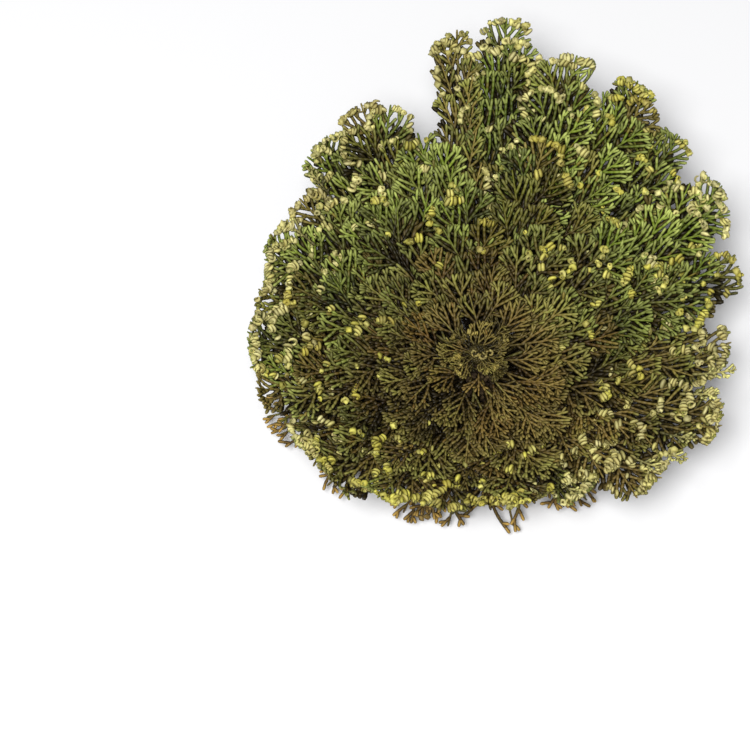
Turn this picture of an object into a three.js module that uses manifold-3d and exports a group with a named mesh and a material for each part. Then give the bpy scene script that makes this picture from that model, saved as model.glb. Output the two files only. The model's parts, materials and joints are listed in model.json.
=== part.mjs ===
// Rose of jericho (Selaginella lepidophylla), opened out as a green rosette.
//
// A short woody crown stands on a flat-footed tuft of roots. Flat, fan-shaped fronds leave the crown in
// a spiral, lie over each other as a shallow bowl and turn their tips up and inwards. Below them hangs a
// skirt of old dead fronds, and on top of the crown sits the heart, the youngest fronds still rolled up.
//
// Millimetres, +Z up. The origin is the middle of the flat foot, on the surface that the plant lies on.
import * as THREE from "three";
import { mergeVertices } from "three/addons/utils/BufferGeometryUtils.js";
import Module from "manifold-3d";

const wasm = await Module();
wasm.setup();

// ---- Driving dimensions -----------------------------------------------------------------------------

const GAP = 0.3; // left between pieces that meet
const GOLDEN_ANGLE = 137.508; // degrees from one frond of the spiral to the next

const FOOT_RADIUS = 18; // flat spot under the root tuft
const TUFT_TOP = 11.5; // height of the root tuft
const TUFT_TOP_RADIUS = 8.5;
const ROOT_COUNT = 26;
const ROOT_THICKNESS = 1.1;

const CROWN_BASE = TUFT_TOP + GAP;
const CROWN_TOP = 32;
const CROWN_BASE_RADIUS = 8.6;
const CROWN_TOP_RADIUS = 4.2;
const CROWN_KNOB = 0.35; // how far old frond bases stand out of the crown

const BLADE = 0.8; // thickness of a frond
const STALK_HALF = 1.0; // half the width of a frond's stalk at the crown
const BRANCH_TIP_HALF = 1.05; // half the width of a branch at its tip
const CURL_OF_ROLL = 0.55; // the length of a branch's tip that turns up, as a share of the roll's radius
const CURL_FROM = 0.79; // the share of the frond's length past which branch tips turn up
const CURL_FADE = 0.1; // and the further share over which they come to do so in full
const LEAST_CURL = 0.4; // radians, below which a tip stays flat
const DEEP_IN_ROLL = 3; // how far into the roll a branch's tip lies, past which the branch bends halfway too

const RIM_LEVEL = 15.4; // height at the crown of the lowest of the rim's whorls
const RIM_STEP = 2; // from each whorl to the one above it
const RIM_WHORLS = 3;
const SPIRAL_LEVEL = 21.1; // height at the crown of the spiral's first, lowest frond
const SPIRAL_STEP = 0.32; // from each frond of the spiral to the next
const SPIRAL_COUNT = 32;
const SPIRAL_LONGEST = 0.86; // the spiral's reach, as a share of the rosette's
const SPIRAL_SHORTEST = 0.2;

const BOWL_SLOPE = 0.15; // rise of the bowl at the crown, per millimetre outwards
const BOWL_CURVE = 0.00125; // and how fast it steepens

// The rim fronds, read anticlockwise from +X: azimuth in degrees, reach in millimetres.
const RIM = [
  [1, 83], [18, 95], [33, 99], [47, 102], [60, 106], [71, 111], [84, 119], [95, 113],
  [113, 97], [124, 93], [136, 86], [150, 81], [163, 77], [176, 76], [190, 75], [206, 69],
  [222, 66], [238, 66], [254, 60], [271, 57], [289, 58], [306, 62], [322, 70], [340, 81],
];

// ---- Small helpers ----------------------------------------------------------------------------------

const radians = THREE.MathUtils.degToRad;
const mix = THREE.MathUtils.lerp;
const FORWARD = new THREE.Vector2(1, 0);
const clamp01 = (x) => THREE.MathUtils.clamp(x, 0, 1);

// A seeded generator of draws from 0 to 1.
function draws(seed) {
  let state = seed >>> 0;
  return () => {
    state = (state + 0x6d2b79f5) >>> 0;
    let x = Math.imul(state ^ (state >>> 15), state | 1);
    x ^= x + Math.imul(x ^ (x >>> 7), x | 61);
    return ((x ^ (x >>> 14)) >>> 0) / 4294967296;
  };
}

function solidOf(geometry) {
  const bare = geometry.clone();
  bare.deleteAttribute("normal");
  bare.deleteAttribute("uv");
  const merged = mergeVertices(bare, 1e-4);
  return new wasm.Manifold(
    new wasm.Mesh({
      numProp: 3,
      vertProperties: merged.attributes.position.array,
      triVerts: new Uint32Array(merged.index.array),
    }),
  );
}

function geometryOf(solid) {
  const mesh = solid.getMesh();
  const geometry = new THREE.BufferGeometry();
  geometry.setAttribute("position", new THREE.BufferAttribute(mesh.vertProperties, 3));
  geometry.setIndex(new THREE.BufferAttribute(mesh.triVerts, 1));
  geometry.computeVertexNormals();
  return geometry;
}

const fuse = (solids) => solids.reduce((whole, solid) => whole.add(solid));

function trianglesToGeometry(positions, triangles) {
  const geometry = new THREE.BufferGeometry();
  geometry.setAttribute("position", new THREE.Float32BufferAttribute(positions, 3));
  geometry.setIndex(triangles);
  geometry.computeVertexNormals();
  return geometry;
}

// ---- The plant's general form -----------------------------------------------------------------------

// How far the rosette reaches at an azimuth. It grew out furthest towards +Y.
function rosetteReach(azimuth) {
  const a = radians(azimuth);
  return 81 + 22 * Math.sin(a) + 3 * Math.cos(a) + 3.5 * Math.sin(2 * a);
}

// The bowl that every frond lies along: its rise, and its lean in radians, at a distance from the axis.
const bowlRise = (distance) => {
  const beyond = distance - CROWN_BASE_RADIUS;
  return BOWL_SLOPE * beyond + BOWL_CURVE * beyond * beyond;
};
const bowlLean = (distance) => Math.atan(BOWL_SLOPE + 2 * BOWL_CURVE * (distance - CROWN_BASE_RADIUS));

function crownRadius(height) {
  const share = clamp01((height - CROWN_BASE) / (CROWN_TOP - CROWN_BASE));
  return mix(CROWN_BASE_RADIUS, CROWN_TOP_RADIUS, share);
}

// ---- Fronds -----------------------------------------------------------------------------------------

// A frond's midrib in its own upright plane, in steps of a millimetre: it leaves the crown, follows the
// bowl, and near its end rolls up and inwards. Each station is [outward, up, lean].
function midribAlongBowl({ start, level, reach, roll, rollRadius }) {
  const stations = [];
  let outward = start;
  let up = level;
  let lean = bowlLean(outward);
  while (outward < reach - rollRadius) {
    stations.push([outward, up, lean]);
    outward += Math.cos(lean);
    up += Math.sin(lean);
    lean = bowlLean(outward);
  }
  for (let turned = 0; turned <= roll; turned += 1 / rollRadius) {
    stations.push([outward, up, lean + turned]);
    outward += Math.cos(lean + turned);
    up += Math.sin(lean + turned);
  }
  return stations;
}

// The midrib of a dead frond: out of the skirt's collar and down to the surface.
function midribOfDead({ start, level, reach, floor }) {
  const stations = [];
  const span = reach - start;
  const fall = level - floor;
  for (let outward = start; outward <= reach; outward += 1) {
    const share = (outward - start) / span;
    const up = level - fall * Math.pow(share, 1.7);
    const lean = -Math.atan((1.7 * fall * Math.pow(share, 0.7)) / span);
    stations.push([outward, up, lean]);
  }
  return stations;
}

// Maps a frond's flat coordinates (along, across, above) into the plant's frame. A frond on the bowl rises
// to its sides too, with its distance from the axis.
function placer({ stations, azimuth, sweep, rise = bowlRise }) {
  const turn = radians(azimuth);
  const length = stations.length - 1;
  return (along, across, above) => {
    const at = THREE.MathUtils.clamp(along, 0, length);
    const i = Math.min(Math.floor(at), length - 1);
    const share = at - i;
    const [railOut, railUp, lean] = stations[i].map((value, k) => mix(value, stations[i + 1][k], share));
    const beyond = along - at;
    const outward = railOut + beyond * Math.cos(lean) - above * Math.sin(lean);
    const up = railUp + beyond * Math.sin(lean) + above * Math.cos(lean);
    const side = across + sweep * Math.pow(at / length, 2);
    return [
      outward * Math.cos(turn) - side * Math.sin(turn),
      outward * Math.sin(turn) + side * Math.cos(turn),
      up + rise(Math.hypot(outward, side)) - rise(outward),
    ];
  };
}

// The half width of a frond's fan at a share of its length, as a share of the greatest.
const fanShape = (share) => Math.pow(Math.sin(Math.PI * Math.pow(clamp01(share), 1.3)), 0.6);

const FIRST_BRANCH = 0.13; // where the branches leave the rib, as shares of the frond's length
const LAST_BRANCH = 0.84; // in a short frond
const LAST_FROM_END = 9; // millimetres from the end, in a long one
const LOW_ANGLE = radians(46); // between the rib and its lowest branch
const HIGH_ANGLE = radians(25); // and its highest
const LEAST_CLEARANCE = 0.6; // of a branch's turned-up end from the middle of the rib

// One side's branches, from the lowest to the highest: where each leaves the rib, its angle and its length,
// which takes it to the edge of the fan. They alternate with the other side's.
function branchesOfSide({ length, halfWidth, branches, side, draw }) {
  const first = length * FIRST_BRANCH;
  const last = Math.max(length * LAST_BRANCH, length - LAST_FROM_END);
  return Array.from({ length: branches }, (_, j) => {
    const share = (j + (side > 0 ? 0.25 : 0.75)) / branches;
    const root = mix(first, last, share);
    const angle = mix(LOW_ANGLE, HIGH_ANGLE, share);
    const room = ((last - first) / branches) * Math.sin(angle);
    const tipHalf = Math.min(BRANCH_TIP_HALF, 0.36 * room);
    const edge = halfWidth * (0.93 + 0.14 * draw());
    let reach = (tipHalf + LEAST_CLEARANCE) / (0.6 * Math.sin(angle));
    const fanAt = (distance) => edge * fanShape((root + distance * Math.cos(angle)) / length);
    while (reach * Math.sin(angle) < fanAt(reach)) reach += 0.25;
    return { root, angle, reach, tipHalf };
  });
}

// The lower and the higher side of one branch, from beyond its notches on the rib to its tip, as points
// [along, across, above, tilt, way]. Where it is turned up, above lifts its tip, and tilt turns its face
// about the line across it. A branch that reaches far into the frond's roll bends halfway along it too.
function branchSides({ branch, notches, side, ribHalf, length, curl, rollRadius, rollFrom }) {
  const way = new THREE.Vector2(Math.cos(branch.angle), side * Math.sin(branch.angle));
  const down = new THREE.Vector2(-way.y, way.x).multiplyScalar(side);
  const corner = (distance, offset, above, tilt) => [
    branch.root + way.x * distance + down.x * offset,
    way.y * distance + down.y * offset,
    above,
    tilt,
    way,
  ];
  const { reach, tipHalf } = branch;
  const tipAlong = branch.root + reach * way.x;
  const turned = curl * clamp01((tipAlong / length - CURL_FROM) / CURL_FADE);
  const bend = turned < LEAST_CURL ? 0 : Math.min(CURL_OF_ROLL * rollRadius, 0.4 * reach);
  const radius = bend / turned;
  return [1, -1].map((edge, k) => {
    const points = [corner(reach - bend, edge * tipHalf, 0, 0)];
    if (tipAlong > rollFrom + DEEP_IN_ROLL) {
      const [along, across] = points[0];
      points.unshift([mix(notches[k], along, 0.5), mix(side * ribHalf(notches[k]), across, 0.5), 0, 0, way]);
    }
    if (bend) {
      const end = reach - bend + radius * Math.sin(turned);
      points.push(corner(end, 0.8 * edge * tipHalf, radius * (1 - Math.cos(turned)), turned));
    }
    return points;
  });
}

// A frond laid flat: its points, its outline anticlockwise and its faces, both as point numbers. Each branch
// is a strip of faces between its two sides, and the rib is a zigzag between the notches of its two sides.
function flatFrond({ length, halfWidth, branches, curl, rollRadius, rollFrom, draw }) {
  const stalkHalf = Math.min(STALK_HALF, 0.45 + 0.012 * length);
  const tipRibHalf = Math.min(0.45, 0.03 * length);
  const endHalf = Math.min(0.7 * BRANCH_TIP_HALF, 0.03 * length);
  const ribHalf = (along) => mix(stalkHalf, tipRibHalf, along / length);
  const points = [];
  const faces = [];
  const add = (point) => points.push(point) - 1;
  const onRib = (along, across) => add([along, across, 0, 0, FORWARD]);
  const addStrip = (lower, higher, side) => {
    for (let k = 0; k + 1 < lower.length; k++) {
      const corners = [lower[k], lower[k + 1], higher[k + 1], higher[k]];
      if (side > 0) corners.reverse();
      const [a, b, c, d] = corners;
      faces.push([a, b, c], [a, c, d]);
    }
  };
  const sideOf = (side) => {
    const list = branchesOfSide({ length, halfWidth, branches, side, draw });
    const lastNotch = mix(list.at(-1).root, length, 0.35);
    const notches = list.map(({ root }, j) => (j ? (list[j - 1].root + root) / 2 : 0.7 * root));
    notches.push(lastNotch);
    const rib = [0, ...notches].map((along) => onRib(along, side * ribHalf(along)));
    const outline = rib.slice(0, 2);
    list.forEach((branch, j) => {
      const ends = notches.slice(j, j + 2);
      const sides = branchSides({ branch, notches: ends, side, ribHalf, length, curl, rollRadius, rollFrom });
      const [lower, higher] = sides.map((row) => row.map(add));
      addStrip([rib[j + 1], ...lower], [rib[j + 2], ...higher], side);
      outline.push(...lower, ...higher.reverse(), rib[j + 2]);
    });
    return { rib, outline };
  };
  const right = sideOf(-1);
  const left = sideOf(1);
  const furthest = Math.max(...points.map(([along]) => along));
  const end = mix(furthest, length, 0.4);
  right.rib.push(onRib(end, -endHalf));
  left.rib.push(onRib(end, endHalf));
  for (let i = 0, j = 0; i + 1 < right.rib.length || j + 1 < left.rib.length; ) {
    const rightNext = points[right.rib[i + 1]]?.[0] ?? Infinity;
    const leftNext = points[left.rib[j + 1]]?.[0] ?? Infinity;
    const onRight = rightNext < leftNext;
    faces.push([right.rib[i], onRight ? right.rib[i + 1] : left.rib[j + 1], left.rib[j]]);
    if (onRight) i += 1;
    else j += 1;
  }
  const outline = [...right.outline, right.rib.at(-1), left.rib.at(-1), ...left.outline.reverse()];
  return { points, outline, faces };
}

// A frond as a thin closed blade: the flat frond's faces above and below, and a wall round its outline.
function bladeGeometry({ points, outline, faces }, place) {
  const count = points.length;
  const positions = [];
  for (const side of [1, -1]) {
    for (const [along, across, above, tilt, way] of points) {
      const back = (-side * BLADE * Math.sin(tilt)) / 2;
      const out = (side * BLADE * Math.cos(tilt)) / 2;
      positions.push(...place(along + way.x * back, across + way.y * back, above + out));
    }
  }
  const triangles = faces.flatMap(([a, b, c]) => [a, b, c, count + c, count + b, count + a]);
  outline.forEach((here, i) => {
    const next = outline[(i + 1) % outline.length];
    triangles.push(count + here, count + next, next, count + here, next, here);
  });
  return trianglesToGeometry(positions, triangles);
}

function frondGeometry({ azimuth, level, reach, roll, rollRadius, sweep, seed, ...fan }) {
  const start = crownRadius(level) + CROWN_KNOB + GAP;
  const stations = midribAlongBowl({ start, level, reach, roll, rollRadius });
  const length = stations.length - 1;
  const rollFrom = length - roll * rollRadius;
  const flat = flatFrond({ ...fan, length, rollRadius, rollFrom, draw: draws(seed) });
  return bladeGeometry(flat, placer({ stations, azimuth, sweep }));
}

// The rim: its fronds lie by turns in the lowest, the middle and the highest of its whorls.
function rimFronds() {
  return RIM.map(([azimuth, reach], i) => {
    const draw = draws(100 + i);
    return {
      name: `rim_frond_${String(i + 1).padStart(2, "0")}`,
      azimuth,
      level: RIM_LEVEL + (i % RIM_WHORLS) * RIM_STEP,
      reach,
      halfWidth: 5.4 + 0.064 * reach,
      branches: 7,
      roll: radians(mix(50, 130, draw())),
      rollRadius: mix(5, 6.5, draw()),
      curl: radians(mix(85, 120, draw())),
      sweep: mix(-2, 2, draw()),
      seed: 200 + i,
    };
  });
}

// The spiral inside the rim, from its lowest and longest frond to its highest and shortest.
function spiralFronds() {
  return Array.from({ length: SPIRAL_COUNT }, (_, i) => {
    const draw = draws(300 + i);
    const azimuth = (20 + i * GOLDEN_ANGLE) % 360;
    const share = i / (SPIRAL_COUNT - 1);
    const level = SPIRAL_LEVEL + i * SPIRAL_STEP;
    const reach = rosetteReach(azimuth) * mix(SPIRAL_LONGEST, SPIRAL_SHORTEST, share);
    const length = reach - crownRadius(level);
    return {
      name: `frond_${String(i + 1).padStart(2, "0")}`,
      azimuth,
      level,
      reach,
      halfWidth: 2.6 + 0.19 * length,
      branches: length > 45 ? 7 : length > 22 ? 5 : 4,
      roll: radians(mix(20, 70, draw())),
      rollRadius: mix(3.5, 4.5, draw()),
      curl: radians(mix(70, 110, draw())),
      sweep: mix(-0.03, 0.03, draw()) * length,
      seed: 400 + i,
    };
  });
}

// ---- Crown, heart, skirt and roots ------------------------------------------------------------------

// The woody crown: a tapered barrel, knobbed in a spiral where old fronds broke off.
function crownGeometry() {
  const profile = [
    [0, CROWN_BASE], [CROWN_BASE_RADIUS - 1, CROWN_BASE], [CROWN_BASE_RADIUS, CROWN_BASE + 1],
    [crownRadius(18), 18], [crownRadius(21), 21], [crownRadius(24), 24], [crownRadius(27), 27],
    [CROWN_TOP_RADIUS, CROWN_TOP - 1.2], [CROWN_TOP_RADIUS - 1.4, CROWN_TOP], [0, CROWN_TOP],
  ].map(([radius, height]) => new THREE.Vector2(radius, height));
  const geometry = new THREE.LatheGeometry(profile, 20).rotateX(Math.PI / 2);
  const position = geometry.attributes.position;
  for (let i = 0; i < position.count; i++) {
    const x = position.getX(i);
    const y = position.getY(i);
    const height = position.getZ(i);
    const radius = Math.hypot(x, y);
    if (radius < 1e-6 || height < CROWN_BASE + 0.5 || height > CROWN_TOP - 0.5) continue;
    const knob = CROWN_KNOB * Math.cos(5 * Math.atan2(y, x) + 1.1 * height);
    position.setXY(i, (x * (radius + knob)) / radius, (y * (radius + knob)) / radius);
  }
  return geometryOf(solidOf(geometry));
}

// A three-sided tapering shoot through a few points.
function shoot(points, thickness, endShare = 0.45) {
  const sides = 3;
  const positions = [];
  const triangles = [];
  const last = points.length - 1;
  points.forEach((point, i) => {
    const ahead = points[Math.min(i + 1, last)].clone().sub(points[Math.max(i - 1, 0)]).normalize();
    const across = new THREE.Vector3(0, 0, 1).cross(ahead).normalize();
    const over = ahead.clone().cross(across);
    const radius = (thickness / 2) * mix(1, endShare, i / last);
    for (let k = 0; k < sides; k++) {
      const a = (2 * Math.PI * k) / sides + Math.PI / 2;
      const corner = point.clone().addScaledVector(across, radius * Math.cos(a));
      corner.addScaledVector(over, radius * Math.sin(a));
      positions.push(corner.x, corner.y, corner.z);
    }
  });
  for (let i = 0; i < last; i++) {
    for (let k = 0; k < sides; k++) {
      const a = i * sides + k;
      const b = i * sides + ((k + 1) % sides);
      triangles.push(a, b, b + sides, a, b + sides, a + sides);
    }
  }
  const end = last * sides;
  triangles.push(0, 2, 1, end, end + 1, end + 2);
  return trianglesToGeometry(positions, triangles);
}

const onRing = (azimuth, outward, height) =>
  new THREE.Vector3(outward * Math.cos(radians(azimuth)), outward * Math.sin(radians(azimuth)), height);

// The roots: a squat felted tuft with a flat foot, and wiry roots that leave it close to the surface.
function rootGeometry() {
  const profile = [
    [0, 0], [FOOT_RADIUS, 0], [FOOT_RADIUS + 1.2, 2.5], [FOOT_RADIUS - 1, 6], [FOOT_RADIUS - 5.5, 9],
    [TUFT_TOP_RADIUS, TUFT_TOP], [0, TUFT_TOP],
  ].map(([radius, height]) => new THREE.Vector2(radius, height));
  const core = solidOf(new THREE.LatheGeometry(profile, 24).rotateX(Math.PI / 2));
  const draw = draws(7);
  const roots = Array.from({ length: ROOT_COUNT }, (_, i) => {
    const azimuth = i * GOLDEN_ANGLE;
    const high = mix(1.6, 7, draw());
    const reach = FOOT_RADIUS + mix(5, 15, draw());
    const bend = mix(-14, 14, draw());
    return solidOf(
      shoot(
        [
          onRing(azimuth, FOOT_RADIUS - 6, high),
          onRing(azimuth + bend * 0.3, mix(FOOT_RADIUS, reach, 0.4), mix(high, 1.2, 0.4)),
          onRing(azimuth + bend, reach, 1.0),
        ],
        ROOT_THICKNESS,
      ),
    );
  });
  return geometryOf(fuse([core, ...roots]));
}

// The skirt: last years' dead fronds, still joined to a collar of their old bases round the crown's foot.
const COLLAR_LOW = 12.2;
const COLLAR_HIGH = 14.4;
const DEAD = [
  [12, 52], [40, 50], [68, 54], [96, 50], [124, 52], [150, 56], [172, 62],
  [190, 73], [213, 64], [240, 52], [262, 48], [284, 50], [309, 54], [338, 60],
]; // azimuth in degrees and reach in millimetres

function skirtGeometry() {
  const inner = CROWN_BASE_RADIUS + CROWN_KNOB + GAP;
  const outer = inner + 2.6;
  const middle = (COLLAR_LOW + COLLAR_HIGH) / 2;
  const ring = [
    [inner, COLLAR_LOW], [outer, COLLAR_LOW + 0.4], [outer + 0.4, middle], [outer, COLLAR_HIGH - 0.4],
    [inner, COLLAR_HIGH], [inner, COLLAR_LOW],
  ].map(([radius, height]) => new THREE.Vector2(radius, height));
  const collar = solidOf(new THREE.LatheGeometry(ring, 26).rotateX(Math.PI / 2));
  const dead = DEAD.map(([azimuth, reach], i) => {
    const draw = draws(500 + i);
    const stations = midribOfDead({ start: inner + 1, level: middle, reach, floor: 1.4 });
    const length = stations.length - 1;
    const straight = { curl: 0, rollRadius: 0, rollFrom: length };
    const fan = { length, halfWidth: 2.5 + 0.1 * reach, branches: 4, ...straight };
    const flat = flatFrond({ ...fan, draw });
    const place = placer({ stations, azimuth, sweep: mix(-4, 4, draw()), rise: () => 0 });
    return solidOf(bladeGeometry(flat, place));
  });
  return geometryOf(fuse([collar, ...dead]));
}

// The heart: the youngest fronds, still rolled up, on a button that sits on the crown.
const HEART_FRONDS = 10;

function heartGeometry() {
  const base = CROWN_TOP + GAP;
  const profile = [
    [0, base], [3.6, base], [4.2, base + 1], [3.2, base + 2.6], [1.4, base + 3.4], [0, base + 3.5],
  ].map(([radius, height]) => new THREE.Vector2(radius, height));
  const button = solidOf(new THREE.LatheGeometry(profile, 12).rotateX(Math.PI / 2));
  const young = Array.from({ length: HEART_FRONDS }, (_, i) => {
    const draw = draws(600 + i);
    const azimuth = 40 + i * GOLDEN_ANGLE;
    const level = base + 1.2 + 0.12 * i;
    const reach = mix(14, 8.5, i / (HEART_FRONDS - 1));
    const rollRadius = 1.9;
    const stations = midribAlongBowl({ start: 1.5, level, reach, roll: radians(110), rollRadius });
    const length = stations.length - 1;
    const rollFrom = length - 1.6 * rollRadius;
    const fan = { length, halfWidth: 1.4 + 0.16 * reach, branches: 3, curl: 0, rollRadius, rollFrom };
    const flat = flatFrond({ ...fan, draw });
    return solidOf(bladeGeometry(flat, placer({ stations, azimuth, sweep: 0 })));
  });
  return geometryOf(fuse([button, ...young]));
}

// ---- The plant --------------------------------------------------------------------------------------

const finish = (color, roughness) => new THREE.MeshStandardMaterial({ color, roughness, metalness: 0 });

function piece(name, geometry, material) {
  const mesh = new THREE.Mesh(geometry, material);
  mesh.name = name;
  return mesh;
}

const plant = new THREE.Group();
plant.add(piece("root_tuft", rootGeometry(), finish(0x3a2a1c, 0.95)));
plant.add(piece("crown", crownGeometry(), finish(0x5a4326, 0.85)));
plant.add(piece("skirt", skirtGeometry(), finish(0x6b5228, 0.85)));
plant.add(piece("heart", heartGeometry(), finish(0x7d7430, 0.6)));
for (const frond of rimFronds()) {
  plant.add(piece(frond.name, frondGeometry(frond), finish(0x6f8030, 0.6)));
}
for (const frond of spiralFronds()) {
  plant.add(piece(frond.name, frondGeometry(frond), finish(0x4f5a22, 0.6)));
}

export default plant;
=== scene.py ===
"""Dresses a rose of jericho, a resurrection spikemoss opened out as a green rosette.

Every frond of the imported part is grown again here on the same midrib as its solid: small fans of leafy
twigs leave the midrib on both sides, and many twigs end in a curl that shows its pale underside. The heart,
the crown, the skirt of dead fronds and the roots are made of a few more moulded shapes, copied many times.
Lengths are in millimetres until a mesh is written, which is in metres.
"""

import json
import logging
from collections import deque
from dataclasses import dataclass, field, replace
from enum import Enum
from math import asin, atan, atan2, cos, degrees, pi, radians, sin, tau
from typing import Callable, ClassVar, Iterator

import bpy
import numpy as np
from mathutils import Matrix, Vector

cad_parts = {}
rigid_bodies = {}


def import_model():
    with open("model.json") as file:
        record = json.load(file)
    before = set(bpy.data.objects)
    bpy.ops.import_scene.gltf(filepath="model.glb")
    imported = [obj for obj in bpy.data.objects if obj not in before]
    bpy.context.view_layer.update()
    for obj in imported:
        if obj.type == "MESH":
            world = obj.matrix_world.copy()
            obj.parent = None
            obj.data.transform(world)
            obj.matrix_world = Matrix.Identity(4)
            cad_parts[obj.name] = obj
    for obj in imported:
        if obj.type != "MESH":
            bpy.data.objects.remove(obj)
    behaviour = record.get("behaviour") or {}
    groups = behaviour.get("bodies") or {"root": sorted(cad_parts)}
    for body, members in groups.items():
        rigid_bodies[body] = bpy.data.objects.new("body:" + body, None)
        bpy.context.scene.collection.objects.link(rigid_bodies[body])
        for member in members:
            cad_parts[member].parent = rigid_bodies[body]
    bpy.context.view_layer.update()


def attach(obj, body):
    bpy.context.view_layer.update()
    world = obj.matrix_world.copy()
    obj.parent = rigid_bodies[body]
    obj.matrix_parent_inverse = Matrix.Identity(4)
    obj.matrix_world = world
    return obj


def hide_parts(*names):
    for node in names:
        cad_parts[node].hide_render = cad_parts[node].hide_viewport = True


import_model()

log = logging.getLogger("rose_of_jericho")

MM = 0.001
GOLDEN_ANGLE = 137.508  # degrees from one frond of the spiral to the next
RIM_DRAWS, SPIRAL_DRAWS, ROOT_DRAWS = 100, 300, 7  # of the solids
RIM_SEED, SPIRAL_SEED, YOUNG_SEED, DEAD_SEED, FORK_SEED = 1000, 2000, 3000, 4000, 5000
WORD = 0xFFFFFFFF  # the greatest 32-bit number
DRAW_STEP = 0x6D2B79F5  # what the state of a row of draws grows by each time

Rows = np.ndarray
Thing = bpy.types.Object
Material = bpy.types.Material
Socket = bpy.types.NodeSocket
Point = tuple[float, float, float]
Span = tuple[float, float]  # the two ends that a seeded draw or a blend goes between


# ---- The plant's general form --------------------------------------------------------------------


def mix(low: float, high: float, share: float) -> float:
    """Blends two numbers."""
    return low + (high - low) * share


def clamp01(x: float) -> float:
    """Keeps a number from 0 to 1."""
    return min(1.0, max(0.0, x))


def smooth(low: float, high: float, x: float) -> float:
    """Rises smoothly from 0 at low to 1 at high."""
    share = clamp01((x - low) / (high - low))
    return share * share * (3 - 2 * share)


def beside(end: Point, ahead: float, aside: float = 0.0) -> tuple[float, float]:
    """Gives the place that is so far ahead and to the left of a place (along, across) with a heading."""
    along, across, heading = end
    forward, sideways = cos(heading), sin(heading)
    return along + ahead * forward - aside * sideways, across + ahead * sideways + aside * forward


def round_axis(radius: float, angle: float, height: float) -> Point:
    """Gives the point at a radius, an angle in radians and a height."""
    return radius * cos(angle), radius * sin(angle), height


def into_edit() -> None:
    """Goes into edit mode with all selected."""
    bpy.ops.object.mode_set(mode="EDIT")
    bpy.ops.mesh.select_all(action="SELECT")


def out_as_triangles() -> None:
    """Makes triangles of what is edited and goes back to object mode."""
    bpy.ops.mesh.select_all(action="SELECT")
    bpy.ops.mesh.quads_convert_to_tris()
    bpy.ops.object.mode_set(mode="OBJECT")


def draws(seed: int) -> Callable[[], float]:
    """Makes the seeded generator that lays out the solids.

    Args:
        seed: The number that the row of draws follows from.

    Returns:
        A function that gives the next draw, from 0 to 1.
    """
    state = seed

    def draw() -> float:
        """Gives the next draw."""
        nonlocal state
        state = (state + DRAW_STEP) & WORD
        x = ((state ^ (state >> 15)) * (state | 1)) & WORD
        x ^= (x + (((x ^ (x >> 7)) * (x | 61)) & WORD)) & WORD
        return (x ^ (x >> 14)) / (WORD + 1)

    return draw


@dataclass(frozen=True)
class PlantForm:
    """The driving sizes that the solids are laid out by, in millimetres."""

    gap: float = 0.3
    foot_radius: float = 18.0
    tuft_top: float = 11.5
    crown_base: float = 11.8
    crown_top: float = 32.0
    crown_base_radius: float = 8.6
    crown_top_radius: float = 4.2
    crown_knob: float = 0.35
    bowl_slope: float = 0.15
    bowl_curve: float = 0.00125
    usual_reach: float = 81.0  # from the axis to the rosette's rim
    reach_back: float = 22.0  # how much further it reaches along +Y
    reach_right: float = 3.0  # and along +X
    reach_between: float = 3.5  # and halfway between the two

    def crown_radius(self, height: float) -> float:
        """Gives the crown's radius at a height."""
        share = clamp01((height - self.crown_base) / (self.crown_top - self.crown_base))
        return mix(self.crown_base_radius, self.crown_top_radius, share)

    def rise(self, distance: Rows | float) -> Rows | float:
        """Gives the bowl's rise at a distance from the axis."""
        beyond = distance - self.crown_base_radius
        return self.bowl_slope * beyond + self.bowl_curve * beyond * beyond

    def lean(self, distance: float) -> float:
        """Gives the bowl's lean, in radians, at a distance from the axis."""
        return atan(self.bowl_slope + 2 * self.bowl_curve * (distance - self.crown_base_radius))

    def reach(self, azimuth: float) -> float:
        """Gives how far the rosette reaches at an azimuth in degrees."""
        a = radians(azimuth)
        along_axes = self.usual_reach + self.reach_back * sin(a) + self.reach_right * cos(a)
        return along_axes + self.reach_between * sin(2 * a)


FORM = PlantForm()


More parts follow.
